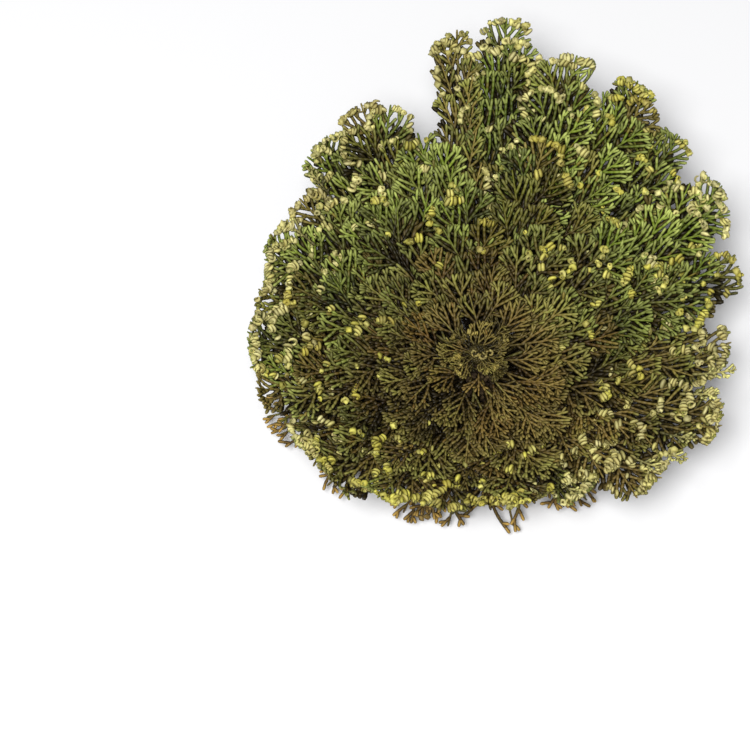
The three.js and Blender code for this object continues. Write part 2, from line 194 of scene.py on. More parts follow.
@dataclass
class Midrib:
    """A frond's midrib, as stations a millimetre apart in an upright plane, and how it leaves that plane."""

    outward: Rows  # each station's distance from the axis
    up: Rows  # and its height
    lean: Rows  # the midrib's angle above the level there, in radians
    azimuth: float  # where the frond points, in degrees from +X
    sweep: float  # how far the frond's end is bent sideways
    on_bowl: bool = True  # whether the frond's sides rise with the bowl
    wave: float = 0.0  # how far the frond's plane waves up and down along it
    wave_length: float = 6.5  # along it, for each radian of that wave

    DROOP: ClassVar[float] = 1.7  # how suddenly a dead frond falls: 1 is a straight line

    @property
    def length(self) -> float:
        """The midrib's length."""
        return float(len(self.outward) - 1)

    @classmethod
    def along_bowl(
        cls, start: float, level: float, reach: float, roll: float, roll_radius: float,
        azimuth: float, sweep: float,
    ) -> "Midrib":
        """Lays a midrib along the bowl and rolls its end up and inwards.

        Args:
            start: Where it leaves the crown, from the axis.
            level: Its height there.
            reach: How far out it goes.
            roll: How far its end turns, in radians.
            roll_radius: The radius of that turn.
            azimuth: Where it points, in degrees.
            sweep: How far its end is bent sideways.

        Returns:
            The midrib.
        """
        outward, up, lean = start, level, FORM.lean(start)
        stations: list[Point] = []
        while outward < reach - roll_radius:
            stations.append((outward, up, lean))
            outward += cos(lean)
            up += sin(lean)
            lean = FORM.lean(outward)
        turned = 0.0
        while turned <= roll:
            stations.append((outward, up, lean + turned))
            outward += cos(lean + turned)
            up += sin(lean + turned)
            turned += 1 / roll_radius
        return cls(*np.array(stations).T, azimuth=azimuth, sweep=sweep)

    @classmethod
    def falling(
        cls, start: float, level: float, reach: float, floor: float, azimuth: float, sweep: float
    ) -> "Midrib":
        """Lays a dead frond's midrib from the collar down to the surface.

        Args:
            start: Where it leaves the collar, from the axis.
            level: Its height there.
            reach: How far out it goes.
            floor: Its height at its end.
            azimuth: Where it points, in degrees.
            sweep: How far its end is bent sideways.

        Returns:
            The midrib.
        """
        outward = np.arange(start, reach, 1.0)
        share = (outward - start) / (reach - start)
        up = level - (level - floor) * share**cls.DROOP
        lean = -np.arctan(cls.DROOP * (level - floor) * share ** (cls.DROOP - 1) / (reach - start))
        return cls(outward, up, lean, azimuth, sweep, on_bowl=False)

    def place(self, flat: Rows) -> Rows:
        """Maps flat points (along, across, above) into the plant's frame.

        Args:
            flat: The points, one a row.

        Returns:
            Their places, one a row.
        """
        along, across, above = flat.T
        at = np.clip(along, 0, self.length)
        above = above + self.wave * np.sin(at / self.wave_length + self.azimuth)
        first = np.minimum(at.astype(int), int(self.length) - 1)
        share = at - first
        lines = (self.outward, self.up, self.lean)
        rib_outward, rib_up, lean = (line[first] * (1 - share) + line[first + 1] * share for line in lines)
        beyond = along - at
        outward = rib_outward + beyond * np.cos(lean) - above * np.sin(lean)
        up = rib_up + beyond * np.sin(lean) + above * np.cos(lean)
        side = across + self.sweep * (at / self.length) ** 2
        if self.on_bowl:
            up = up + FORM.rise(np.hypot(outward, side)) - FORM.rise(outward)
        turn = radians(self.azimuth)
        return np.stack(
            [
                outward * cos(turn) - side * sin(turn),
                outward * sin(turn) + side * cos(turn),
                up,
            ],
            axis=1,
        )


@dataclass(frozen=True)
class Upright:
    """Lays what is already given in the plant's frame as it is."""

    def place(self, flat: Rows) -> Rows:
        """Gives the points back."""
        return flat


# ---- Modelling -----------------------------------------------------------------------------------


def deselect() -> None:
    """Leaves object mode with nothing selected."""
    if bpy.context.object and bpy.context.object.mode != "OBJECT":
        bpy.ops.object.mode_set(mode="OBJECT")
    bpy.ops.object.select_all(action="DESELECT")


def pick_vertices(wanted: Callable[[Vector], bool]) -> None:
    """Selects the edited object's vertices that pass a test, and no others, and stays in edit mode."""
    mesh = bpy.context.object.data
    bpy.ops.mesh.select_mode(type="VERT")
    bpy.ops.mesh.select_all(action="DESELECT")
    bpy.ops.object.mode_set(mode="OBJECT")
    for vertex in mesh.vertices:
        vertex.select = bool(wanted(vertex.co))
    bpy.ops.object.mode_set(mode="EDIT")


NEAR = 1e-3  # how far from a plane a vertex still counts as on it
RIDGE_TOP = 1.5  # the ridge value along a mould's middle, before it is cut off at 1
RIDGE_FALL = 2.0  # how much of it is lost by the mould's side
CURL_SIDE = 0.2  # the ridge value at the sides of a curl, which get less painted side shade than a joint's
EYE_CORE = 0.4  # how much of a curl's eye is fully dark with painted shade, as a share


@dataclass
class Mould:
    """A small closed mesh that is modelled once and copied."""

    vertices: Rows  # one a row
    triangles: Rows  # as vertex numbers
    under: Rows  # 1 for each triangle that faces down, 0 for the others
    ridge: Rows  # 1 for each vertex along its middle, 0 for those at its sides, where shade is painted

    @classmethod
    def taken_from(cls, made: Thing, all_under: bool = False, eye: float = 0.0) -> "Mould":
        """Reads a mould from a modelled object and removes the object.

        Args:
            made: The object, in object mode.
            all_under: True if the whole of it counts as a leaf's underside.
            eye: How far a curl's eye of painted shade reaches from the Y axis, or 0 if it has none.

        Returns:
            The mould.
        """
        mesh = made.data
        mesh.calc_loop_triangles()
        vertices = np.empty(len(mesh.vertices) * 3)
        mesh.vertices.foreach_get("co", vertices)
        vertices = vertices.reshape(-1, 3)
        triangles = np.array([t.vertices[:] for t in mesh.loop_triangles])
        bpy.data.objects.remove(made)
        corners = vertices[triangles]
        normals = np.cross(corners[:, 1] - corners[:, 0], corners[:, 2] - corners[:, 0])
        aside = np.abs(vertices[:, 1])
        ridge = np.clip(RIDGE_TOP - RIDGE_FALL * aside / aside.max(), CURL_SIDE if all_under else 0.0, 1)
        # a curl's ridge values fall to 0 in its hollow, where painted shade darkens its eye
        if eye:
            ridge = np.clip(np.hypot(vertices[:, 0], vertices[:, 2]) / eye - EYE_CORE, 0, 1)
        return cls(vertices, triangles, ((normals[:, 2] < 0) | all_under).astype(np.float32), ridge)

    def copies(
        self, places: Rows, axes: Rows, scales: Rows
    ) -> tuple[Rows, Rows]:
        """Copies the mould to many places.

        Args:
            places: Where each copy's origin goes.
            axes: Each copy's forward, side and upper axis, as rows.
            scales: Each copy's size along its three axes.

        Returns:
            All vertices and all triangles.
        """
        sized = self.vertices[None] * scales[:, None]
        vertices = places[:, None] + np.einsum("nvk,nkj->nvj", sized, axes)
        offsets = np.arange(len(places))[:, None, None] * len(self.vertices)
        return vertices.reshape(-1, 3), (self.triangles[None] + offsets).reshape(-1, 3)


@dataclass(frozen=True)
class LeafyJoint:
    """The sizes of one joint of a leafy twig: a flat, keeled stretch of stem in its pressed scale leaves."""

    width: float = 1.5
    length: float = 2.35
    pitch: float = 1.85
    thickness: float = 0.85
    facets: int = 4
    waist: float = 0.88  # its width at its start, as a share
    belly: float = 0.55  # where it is widest, as a share of its length
    end: float = 0.9  # its width at its end, as a share

    def model(self) -> Mould:
        """Models the joint, its stem along +X.

        Returns:
            The joint as a mould.
        """
        deselect()
        bpy.ops.mesh.primitive_cylinder_add(
            vertices=self.facets, radius=1, depth=self.length, rotation=(0, pi / 2, 0),
            location=(self.length / 2, 0, 0),
        )
        joint = bpy.context.object
        joint.scale = (self.thickness / 2, self.width / 2, 1)
        bpy.ops.object.transform_apply(location=True, rotation=True, scale=True)
        into_edit()
        middle = self.belly * self.length
        bpy.ops.mesh.bisect(plane_co=(middle, 0, 0), plane_no=(1, 0, 0))
        for place, share in ((0.0, self.waist), (self.length, self.end)):
            pick_vertices(lambda co, x=place: abs(co.x - x) < NEAR)
            bpy.ops.transform.resize(value=(1, share, share), center_override=(place, 0, 0))
        out_as_triangles()
        return Mould.taken_from(joint)


@dataclass(frozen=True)
class Knob:
    """The sizes of a twig end that has curled up tight into a lumpy knob, nearly closed in its middle."""

    radius: float = 0.62
    thickness: float = 0.9
    sides: int = 7
    facets: int = 4
    lumps: float = 0.32  # how far its surface goes in and out
    seed: int = 5  # what its lumps follow from

    def model(self) -> Mould:
        """Models the knob, curled round Y.

        Returns:
            The knob as a mould.
        """
        deselect()
        bpy.ops.mesh.primitive_torus_add(
            major_segments=self.sides, minor_segments=self.facets, major_radius=self.radius,
            minor_radius=self.thickness / 2, rotation=(pi / 2, 0, 0),
        )
        knob = bpy.context.object
        bpy.ops.object.transform_apply(rotation=True)
        into_edit()
        bpy.ops.transform.vertex_random(offset=self.lumps, seed=self.seed)
        out_as_triangles()
        return Mould.taken_from(knob, all_under=True, eye=self.radius)


@dataclass(frozen=True)
class Roll:
    """The sizes of one twig end that has rolled up and back over itself."""

    width: float = 1.4
    thickness: float = 0.8
    facets: int = 4
    radius: float = 1.25
    turn: float = 255.0  # degrees
    steps: int = 7
    tip: float = 0.6  # its tip's size, as a share

    def model(self) -> Mould:
        """Models the roll: it sets out along +X and rises over itself.

        Returns:
            The roll as a mould.
        """
        deselect()
        bpy.ops.mesh.primitive_circle_add(
            vertices=self.facets, radius=1, fill_type="NGON", rotation=(0, pi / 2, 0)
        )
        roll = bpy.context.object
        roll.scale = (self.thickness / 2, self.width / 2, 1)
        bpy.ops.object.transform_apply(location=True, rotation=True, scale=True)
        into_edit()
        bpy.ops.mesh.spin(
            steps=self.steps, angle=radians(self.turn), center=(0, 0, self.radius), axis=(0, -1, 0)
        )
        bpy.ops.object.mode_set(mode="OBJECT")
        end = sum((v.co for v in roll.data.vertices if v.select), Vector()) / self.facets
        bpy.ops.object.mode_set(mode="EDIT")
        bpy.ops.transform.resize(value=(self.tip,) * 3, center_override=end)
        bpy.ops.mesh.select_all(action="SELECT")
        bpy.ops.mesh.normals_make_consistent(inside=False)
        out_as_triangles()
        return Mould.taken_from(roll, all_under=True)


@dataclass(frozen=True)
class Strand:
    """The sizes of one straight stretch of a root, about a unit long and a unit thick."""

    sides: int = 4
    length: float = 1.16  # over a unit, so that each overlaps the next
    thickness: float = 1.0

    def model(self) -> Mould:
        """Models the stretch along +X.

        Returns:
            The stretch as a mould.
        """
        deselect()
        bpy.ops.mesh.primitive_cylinder_add(
            vertices=self.sides, radius=self.thickness / 2, depth=self.length,
            rotation=(0, pi / 2, 0), location=(0.5, 0, 0),
        )
        strand = bpy.context.object
        bpy.ops.object.transform_apply(location=True, rotation=True)
        return Mould.taken_from(strand)


@dataclass(frozen=True)
class Moulds:
    """The small meshes that the plant is copied from."""

    joint: Mould
    tip: Mould
    knob: Mould
    roll: Mould
    strand: Mould

    @classmethod
    def modelled(cls) -> "Moulds":
        """Models them all."""
        tip = LeafyJoint(length=2.6, belly=0.7, end=0.62)
        return cls(LeafyJoint().model(), tip.model(), Knob().model(), Roll().model(), Strand().model())


Laid = tuple[Rows, Rows, Rows, Rows]  # vertices, triangles, looks and under values


@dataclass
class Copies:
    """Copies of one mould, gathered one by one in flat coordinates (along, across, above) or the plant's."""

    STEP: ClassVar[float] = 0.05  # the length over which the surface's directions are taken

    mould: Mould
    places: list[Point] = field(default_factory=list)
    forward: list[Point] = field(default_factory=list)
    side: list[Point] = field(default_factory=list)
    scale: list[Point] = field(default_factory=list)
    look: list[tuple[float, ...]] = field(default_factory=list)  # the values of each Look but the last

    def add(
        self, place: Point, heading: float, climb: float, scale: Point, look: tuple[float, ...],
        bank: float = 0.0,
    ) -> None:
        """Adds a copy.

        Args:
            place: Where its origin is.
            heading: The way it points in the plane, in radians from the first axis.
            climb: How far it points up out of that plane, in radians.
            scale: Its size along, across and above.
            look: Its age, tip, dry, tint and pale values.
            bank: How far it leans over sideways, in radians.
        """
        flat = cos(climb)
        level = cos(bank)
        self.places.append(place)
        self.forward.append((cos(heading) * flat, sin(heading) * flat, sin(climb)))
        self.side.append((-sin(heading) * level, cos(heading) * level, sin(bank)))
        self.scale.append(scale)
        self.look.append(look)

    def laid(self, lie: Midrib | Upright) -> Laid:
        """Lays the copies along a midrib's surface, or as they are.

        Args:
            lie: What the coordinates are laid along.

        Returns:
            All vertices, all triangles, each vertex's look and each triangle's under value.
        """
        rows = (self.places, self.forward, self.side, self.scale)
        places, forward, side, scale = (np.array(row, float).reshape(-1, 3) for row in rows)
        at = lie.place(places)
        ahead = lie.place(places + self.STEP * forward) - at
        ahead /= np.linalg.norm(ahead, axis=1, keepdims=True)
        beside = lie.place(places + self.STEP * side) - at
        over = np.cross(ahead, beside)
        over /= np.linalg.norm(over, axis=1, keepdims=True)
        axes = np.stack([ahead, np.cross(over, ahead), over], axis=1)
        vertices, triangles = self.mould.copies(at, axes, scale)
        looks = np.repeat(np.array(self.look, np.float32), len(self.mould.vertices), axis=0)
        ridges = np.tile(self.mould.ridge, len(places))
        return vertices, triangles, np.column_stack([looks, ridges]), np.tile(self.mould.under, len(places))


@dataclass
class Foliage:
    """The joints, tips, knobs and rolls that make up a leafy thing."""

    joints: Copies
    tips: Copies
    knobs: Copies
    rolls: Copies

    @classmethod
    def none_yet(cls, moulds: Moulds) -> "Foliage":
        """Starts with no copies."""
        return cls(Copies(moulds.joint), Copies(moulds.tip), Copies(moulds.knob), Copies(moulds.roll))

    def laid(self, lie: Midrib | Upright) -> list[Laid]:
        """Lays all of it."""
        kinds = (self.joints, self.tips, self.knobs, self.rolls)
        return [copies.laid(lie) for copies in kinds if copies.places]


def copied_piece(name: str, laid: list[Laid]) -> Thing:
    """Makes one piece from copies that are laid in the plant's frame.

    Args:
        name: The piece's name.
        laid: The vertices, triangles, looks and under values of each kind of copy.

    Returns:
        The piece.
    """
    starts = np.cumsum([0] + [len(part[0]) for part in laid[:-1]])
    vertices = np.concatenate([part[0] for part in laid])
    triangles = np.concatenate([part[1] + start for part, start in zip(laid, starts)])
    looks = np.concatenate([part[2] for part in laid])
    under = np.concatenate([part[3] for part in laid])
    return piece_of(name, vertices, triangles, dict(zip(Look.names(), looks.T)), under)


class Look(Enum):
    """What a leafy piece's point attributes say, each from 0 to 1 but tint, which is from -1."""

    AGE = "age"  # 0 for old brown foliage near the crown, 1 for the green far end
    TIP = "tip"  # 1 at a twig's growing end
    DRY = "dry"  # 1 for straw
    TINT = "tint"  # a twig's own tone, with painted shade at fan feet, on the rosette's shaded sides and on old growth
    PALE = "pale"  # 0 for a yellow underside, 1 for a cream one
    RIDGE = "ridge"  # 1 along the middle of a joint or a roll, 0 at its sides, where shade is painted

    @classmethod
    def names(cls) -> list[str]:
        """Lists the attributes in their order."""
        return [one.value for one in cls]


def piece_of(
    name: str,
    vertices: Rows,
    triangles: Rows,
    point_values: dict[str, Rows],
    under: Rows,
) -> Thing:
    """Makes an object from arrays, in metres, riding on the part.

    Args:
        name: Its name.
        vertices: Its vertices, in millimetres.
        triangles: Its triangles.
        point_values: Its point attributes by name.
        under: For each triangle, 1 if it's on a leaf's underside.

    Returns:
        The object.
    """
    mesh = bpy.data.meshes.new(name)
    mesh.vertices.add(len(vertices))
    mesh.vertices.foreach_set("co", (vertices * MM).astype(np.float32).ravel())
    mesh.loops.add(len(triangles) * 3)
    mesh.loops.foreach_set("vertex_index", triangles.astype(np.int32).ravel())
    mesh.polygons.add(len(triangles))
    mesh.polygons.foreach_set("loop_start", np.arange(0, 3 * len(triangles), 3, dtype=np.int32))
    for key, values in point_values.items():
        mesh.attributes.new(key, "FLOAT", "POINT").data.foreach_set("value", values.astype(np.float32))
    mesh.attributes.new("under", "FLOAT", "FACE").data.foreach_set("value", under.astype(np.float32))
    mesh.polygons.foreach_set("use_smooth", np.ones(len(triangles), bool))
    mesh.update(calc_edges=True)
    made = bpy.data.objects.new(name, mesh)
    bpy.context.scene.collection.objects.link(made)
    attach(made, "root")
    return made


# ---- Finishes ------------------------------------------------------------------------------------

Colour = tuple[float, float, float]


def empty_material(name: str) -> Material:
    """Makes a material with no nodes."""
    made = bpy.data.materials.new(name)
    made.use_nodes = True
    made.node_tree.nodes.clear()
    return made


def socket_of(node: bpy.types.Node, name: str) -> Socket:
    """Finds a node's live input by name, since a Mix node has several of each name."""
    return next(s for s in node.inputs if s.name == name and s.enabled)


@dataclass
class Wiring:
    """Makes and joins nodes in one node tree."""

    tree: bpy.types.NodeTree

    def node(self, kind: str, **settings: object) -> bpy.types.Node:
        """Adds a node and sets its properties."""
        made = self.tree.nodes.new(kind)
        for key, value in settings.items():
            setattr(made, key, value)
        return made

    def feed(self, socket: Socket, value: object) -> None:
        """Links a socket to another, or sets its value."""
        if isinstance(value, Socket):
            self.tree.links.new(value, socket)
        elif isinstance(value, tuple):
            socket.default_value = (*value, 1.0) if len(value) == 3 and socket.type == "RGBA" else value
        else:
            socket.default_value = value

    def value(self, name: str) -> Socket:
        """Reads one of the mesh's own attributes."""
        return self.node("ShaderNodeAttribute", attribute_name=name).outputs["Fac"]

    def blend(self, share: object, first: object, second: object, kind: str = "MIX") -> Socket:
        """Blends two colours."""
        made = self.node("ShaderNodeMix", data_type="RGBA", blend_type=kind)
        for key, value in (("Factor", share), ("A", first), ("B", second)):
            self.feed(socket_of(made, key), value)
        return next(s for s in made.outputs if s.enabled)

    def sum(self, kind: str, first: object, second: object) -> Socket:
        """Works out one value from two, kept from 0 to 1."""
        made = self.node("ShaderNodeMath", operation=kind, use_clamp=True)
        self.feed(made.inputs[0], first)
        self.feed(made.inputs[1], second)
        return made.outputs[0]

    def range(self, value: object, given: Span, wanted: Span = (0.0, 1.0)) -> Socket:
        """Maps a value from one range to another."""
        made = self.node("ShaderNodeMapRange")
        keys = ("Value", "From Min", "From Max", "To Min", "To Max")
        for key, number in zip(keys, (value, *given, *wanted)):
            self.feed(made.inputs[key], number)
        return made.outputs["Result"]

    def darkened(self, colour: object, shade: object) -> Socket:
        """Multiplies a colour by a shade, from 0 to 1."""
        grey = self.node("ShaderNodeCombineColor")
        for channel in ("Red", "Green", "Blue"):
            self.feed(grey.inputs[channel], shade)
        return self.blend(1.0, colour, grey.outputs["Color"], kind="MULTIPLY")

    def ramp(self, share: object, stops: list[tuple[float, Colour]]) -> Socket:
        """Reads a colour ramp."""
        made = self.node("ShaderNodeValToRGB")
        elements = made.color_ramp.elements
        while len(elements) < len(stops):
            elements.new(0.5)
        for element, (place, colour) in zip(elements, stops):
            element.position = place
            element.color = (*colour, 1.0)
        self.feed(made.inputs["Fac"], share)
        return made.outputs["Color"]

    def noise(self, per_metre: float, detail: float = 2.0) -> Socket:
        """Reads noise on the object's own coordinates."""
        coordinates = self.node("ShaderNodeTexCoord").outputs["Object"]
        made = self.node("ShaderNodeTexNoise")
        self.feed(made.inputs["Vector"], coordinates)
        self.feed(made.inputs["Scale"], per_metre)
        self.feed(made.inputs["Detail"], detail)
        return made.outputs["Fac"]


@dataclass(frozen=True)
class Mottling:
    """The fine mottling that every finish of the plant has, as one shared node group."""

    name: str = "mottling"
    coarse_per_metre: float = 260.0
    fine_per_metre: float = 1700.0
    fine_detail: float = 3.0
    noise: Span = (0.3, 0.7)  # the noise values from dark to light
    coarse_shade: Span = (0.7, 1.0)
    fine_shade: Span = (0.8, 1.0)

    def build(self) -> None:
        """Builds the node group: a colour and a depth in, the mottled colour and a height out."""
        tree = bpy.data.node_groups.new(self.name, "ShaderNodeTree")
        tree.interface.new_socket("Color", in_out="INPUT", socket_type="NodeSocketColor")
        tree.interface.new_socket("Depth", in_out="INPUT", socket_type="NodeSocketFloat")
        tree.interface.new_socket("Color", in_out="OUTPUT", socket_type="NodeSocketColor")
        tree.interface.new_socket("Height", in_out="OUTPUT", socket_type="NodeSocketFloat")
        w = Wiring(tree)
        given = w.node("NodeGroupInput")
        result = w.node("NodeGroupOutput")
        coarse = w.noise(self.coarse_per_metre)
        fine = w.noise(self.fine_per_metre, detail=self.fine_detail)
        coarse_shade = w.range(coarse, self.noise, self.coarse_shade)
        shade = w.sum("MULTIPLY", coarse_shade, w.range(fine, self.noise, self.fine_shade))
        mottled = w.darkened(given.outputs["Color"], shade)
        w.feed(result.inputs["Color"], w.blend(given.outputs["Depth"], given.outputs["Color"], mottled))
        w.feed(result.inputs["Height"], fine)


MOTTLING = Mottling()


@dataclass(frozen=True)
class Surface:
    """How a finish's surface takes light and how rough it is to the touch."""

    roughness: float = 0.5
    mottle: float = 0.8
    bump: float = 0.35
    relief: float = 0.0002  # the bump's height in metres
    shine: float = 0.2

    def close(self, material: Material, wiring: Wiring, colour: object) -> Material:
        """Ends a material: mottles the colour, adds the bump and joins the shader.

        Args:
            material: The material.
            wiring: Its node tree's wiring.
            colour: Its colour before mottling.

        Returns:
            The material.
        """
        mottle = wiring.node("ShaderNodeGroup", node_tree=bpy.data.node_groups[MOTTLING.name])
        wiring.feed(mottle.inputs["Color"], colour)
        wiring.feed(mottle.inputs["Depth"], self.mottle)
        bump = wiring.node("ShaderNodeBump")
        wiring.feed(bump.inputs["Strength"], self.bump)
        wiring.feed(bump.inputs["Distance"], self.relief)
        wiring.feed(bump.inputs["Height"], mottle.outputs["Height"])
        shader = wiring.node("ShaderNodeBsdfPrincipled")
        wiring.feed(shader.inputs["Base Color"], mottle.outputs["Color"])
        wiring.feed(shader.inputs["Roughness"], self.roughness)
        wiring.feed(shader.inputs["Normal"], bump.outputs["Normal"])
        wiring.feed(shader.inputs["Specular IOR Level"], self.shine)
        output = wiring.node("ShaderNodeOutputMaterial")
        wiring.feed(output.inputs["Surface"], shader.outputs["BSDF"])
        return material


@dataclass(frozen=True)
class LeafFinish:
    """The waxy finish of leafy twigs: old brown foliage, then green ends with pale undersides, and painted
    shade.
    """

    name: str
    slot: str
    oldest: Colour = (0.200, 0.136, 0.034)
    old: Colour = (0.215, 0.182, 0.038)
    grown: Colour = (0.190, 0.205, 0.034)
    young: Colour = (0.185, 0.250, 0.022)
    growing_end: Colour = (0.50, 0.56, 0.15)
    yellow_under: Colour = (0.65, 0.61, 0.10)
    cream_under: Colour = (0.87, 0.82, 0.38)
    # painted shade on a curl's flanks and in its eye, and a brown that some curls have all over
    brown_and_shade_under: Colour = (0.18, 0.120, 0.016)
    straw: Colour = (0.74, 0.70, 0.24)
    rust: Colour = (0.165, 0.078, 0.012)
    ages: tuple[float, ...] = (0.0, 0.33, 0.66, 1.0)  # of the first four colours
    end_share: float = 0.7  # how much of the growing end's colour shows
    eye: Span = (0.1, 0.9)  # the ridge values over which a curl's eye shade is painted
    eye_light: float = 0.15  # how light the painted shade in the eye is
    rusted: float = 0.3  # the dryness up to which it is rust, not straw
    wholly_dry: float = 0.5  # the dryness past which no green is left
    shades: Span = (0.08, 1.4)  # of the darkest and the lightest twig, by its tone and its painted shade
    painted_side_shade: float = 0.07  # painted shade: how light a joint's sides are beside its ridge
    side_ends: float = 0.45  # the ridge value at which that painted shade ends
    surface: Surface = Surface()

    def material(self) -> Material:
        """Builds the material.

        Returns:
            The material.
        """
        made = empty_material(self.name)
        w = Wiring(made.node_tree)
        age, tip, dry, tint, pale, ridge, under = (w.value(key) for key in [*Look.names(), "under"])
        body = w.ramp(age, list(zip(self.ages, (self.oldest, self.old, self.grown, self.young))))
        body = w.blend(w.sum("MULTIPLY", tip, self.end_share), body, self.growing_end)
        below = w.blend(pale, self.yellow_under, self.cream_under)
        # a curl's pale underside gives way to painted brown shade on its flanks and in its eye
        shown = w.sum("MULTIPLY", tip, w.range(ridge, self.eye, (self.eye_light, 1.0)))
        below = w.blend(shown, self.brown_and_shade_under, below)
        colour = w.blend(under, body, below)
        dead = w.blend(w.range(dry, (self.rusted, 1.0)), self.rust, self.straw)
        colour = w.blend(w.range(dry, (0.0, self.wholly_dry)), colour, dead)
        # each twig's tone and painted shade from its tint, then painted shade along each joint's sides
        own = w.range(tint, (-1.0, 1.0), self.shades)
        shade = w.sum("MULTIPLY", own, w.range(ridge, (0.0, self.side_ends), (self.painted_side_shade, 1.0)))
        return self.surface.close(made, w, w.darkened(colour, shade))


@dataclass(frozen=True)
class BarkFinish:
    """The matt finish of the crown's wood and of the roots."""

    name: str
    slot: str
    dark: Colour
    light: Colour
    streaks_per_metre: float = 420.0
    streak_detail: float = 5.0
    streaks: Span = (0.35, 0.65)  # the noise values from dark to light
    streak_light: float = 0.7
    own_shade: float = 0.3  # either way
    surface: Surface = Surface(roughness=0.9, mottle=0.9, bump=0.8)

    def material(self) -> Material:
        """Builds the material.

        Returns:
            The material.
        """
        made = empty_material(self.name)
        w = Wiring(made.node_tree)
        noise = w.noise(self.streaks_per_metre, detail=self.streak_detail)
        streaks = w.range(noise, self.streaks, (0.0, self.streak_light))
        own = w.range(w.value(Look.TINT.value), (-1.0, 1.0), (-self.own_shade, self.own_shade))
        return self.surface.close(made, w, w.blend(w.sum("ADD", streaks, own), self.dark, self.light))


@dataclass(frozen=True)
class Palette:
    """Every finish of the plant."""

    green: LeafFinish = LeafFinish("waxy green scale leaves", "green_frond")
    rim: LeafFinish = LeafFinish("rim scale leaves", "rim_frond")
    young: LeafFinish = LeafFinish(
        "young scale leaves", "young_frond", oldest=(0.20, 0.143, 0.032), yellow_under=(0.36, 0.29, 0.07),
        cream_under=(0.5, 0.42, 0.15),
    )
    dead: LeafFinish = LeafFinish(
        "dead scale leaves", "dead_frond", rust=(0.085, 0.044, 0.014), straw=(0.45, 0.285, 0.068),
        surface=Surface(roughness=0.75),
    )
    wood: BarkFinish = BarkFinish(
        "crown wood", "crown_wood", dark=(0.03, 0.018, 0.01), light=(0.1, 0.068, 0.03)
    )
    roots: BarkFinish = BarkFinish(
        "felted roots", "root_felt", dark=(0.02, 0.012, 0.007), light=(0.13, 0.08, 0.04)
    )

    def dress(self, piece: Thing, finish: LeafFinish | BarkFinish) -> None:
        """Gives a piece its finish, building the material the first time.

        Args:
            piece: The piece.
            finish: The finish.
        """
        material = bpy.data.materials.get(finish.name) or finish.material()
        piece.data.materials.clear()
        piece.data.materials.append(material)


# ---- Fronds --------------------------------------------------------------------------------------


class Habit(Enum):
    """How a frond's twigs have aged."""

    GREEN = "green"  # open, with a few tips curled up into knobs
    CREAM = "cream"  # most tips rolled up, showing cream undersides
    STRAW = "straw"  # dried to straw
    RUSTY = "rusty"  # browned, with cream tips
    OLD = "old"  # brown all over, under the green
    DEAD = "dead"  # last years' growth, dark with golden tips


@dataclass(frozen=True)
class Ageing:
    """How the living foliage goes from brown at the heart to green where it grew out furthest."""

    brown_within: float = 9.0
    far_brown_within: float = 20.0  # and on the side that is less green
    green_beyond: float = 76.0
    greenest: float = 80.0  # azimuth in degrees
    far_side: float = 0.5  # how green the side away from there becomes, as a share
    turn: Span = (0.1, 0.8)  # where one side gives way to the other

    def green(self, distance: float, azimuth: float) -> float:
        """Gives how green the foliage is at a place.

        Args:
            distance: The place's distance from the axis.
            azimuth: Its azimuth in degrees.

        Returns:
            A value from 0 to 1.
        """
        side = smooth(*self.turn, 0.5 + 0.5 * cos(radians(azimuth - self.greenest)))
        brown_within = mix(self.far_brown_within, self.brown_within, side)
        return smooth(brown_within, self.green_beyond, distance) * mix(self.far_side, 1.0, side)


@dataclass(frozen=True)
class Fan:
    """One small fan of twigs on a frond, in the frond's flat coordinates."""

    along: float  # where it begins along the midrib
    heading: float  # radians from the midrib
    length: float
    half_width: float
    above: float  # how far above the frond's plane it begins
    climb: float  # how steeply it rises from there
    layer: int  # its number: only shoots of one fan keep clear of each other
    tint: float
    youth: float  # how much greener it is than the foliage round it
    rust: float  # how far it has browned
    clusters: tuple[float, ...]  # seeded values along its edge that say where tips are curled

    END: ClassVar[float] = 0.985  # the share of its length past which nothing grows
    FOOT: ClassVar[float] = 0.002  # and the one below which it grows no narrower
    WIDEST_OUT: ClassVar[float] = 1.9  # the more, the further out it is widest
    BLUNT: ClassVar[float] = 0.55  # the less, the blunter its ends
    SAG: ClassVar[float] = 0.008  # times the square of the distance across
    MIDDLE: ClassVar[float] = 0.45  # where its edge is measured round from

    def local(self, along: float, across: float) -> tuple[float, float]:
        """Turns a place on the frond into one along and across the fan."""
        ahead = along - self.along
        turned, straight = sin(self.heading), cos(self.heading)
        return ahead * straight + across * turned, across * straight - ahead * turned

    def past_edge(self, along: float, across: float, slack: float) -> bool:
        """Says whether a place is past the fan's edge, which is let out by a factor."""
        ahead, aside = self.local(along, across)
        share = ahead / self.length
        if share > self.END:
            return True
        fullness = sin(pi * max(share, self.FOOT) ** self.WIDEST_OUT) ** self.BLUNT
        return abs(aside) > self.half_width * slack * fullness

    def height(self, along: float, across: float) -> float:
        """Gives the fan's height above the frond's plane at a place."""
        ahead, aside = self.local(along, across)
        return self.above + self.climb * max(ahead, 0.0) - self.SAG * aside * aside

    def cluster(self, along: float, across: float) -> float:
        """Reads the seeded values at a place on the fan's edge."""
        ahead, aside = self.local(along, across)
        bearing = atan2(aside, ahead - self.MIDDLE * self.length) / pi + 0.5
        count = len(self.clusters)
        return float(np.interp(clamp01(bearing) * (count - 1), range(count), self.clusters))


@dataclass
class Shoot:
    """A shoot that waits for its turn to grow, in a frond's flat coordinates."""

    fan: Fan
    along: float
    across: float
    heading: float  # radians from the midrib
    length: float  # how long it grows if nothing stops it
    bend: float  # how far it turns over its length, in radians
    order: int  # 1 for a branch off the fan's rib, 2 for a twig, 3 for a fork
    slack: float  # how far past the fan's usual edge it may go, as a factor
    parent: int  # the number of the shoot that it grows from
    tint: float
    near_end: bool = False  # near its parent's tip even a short fork stays


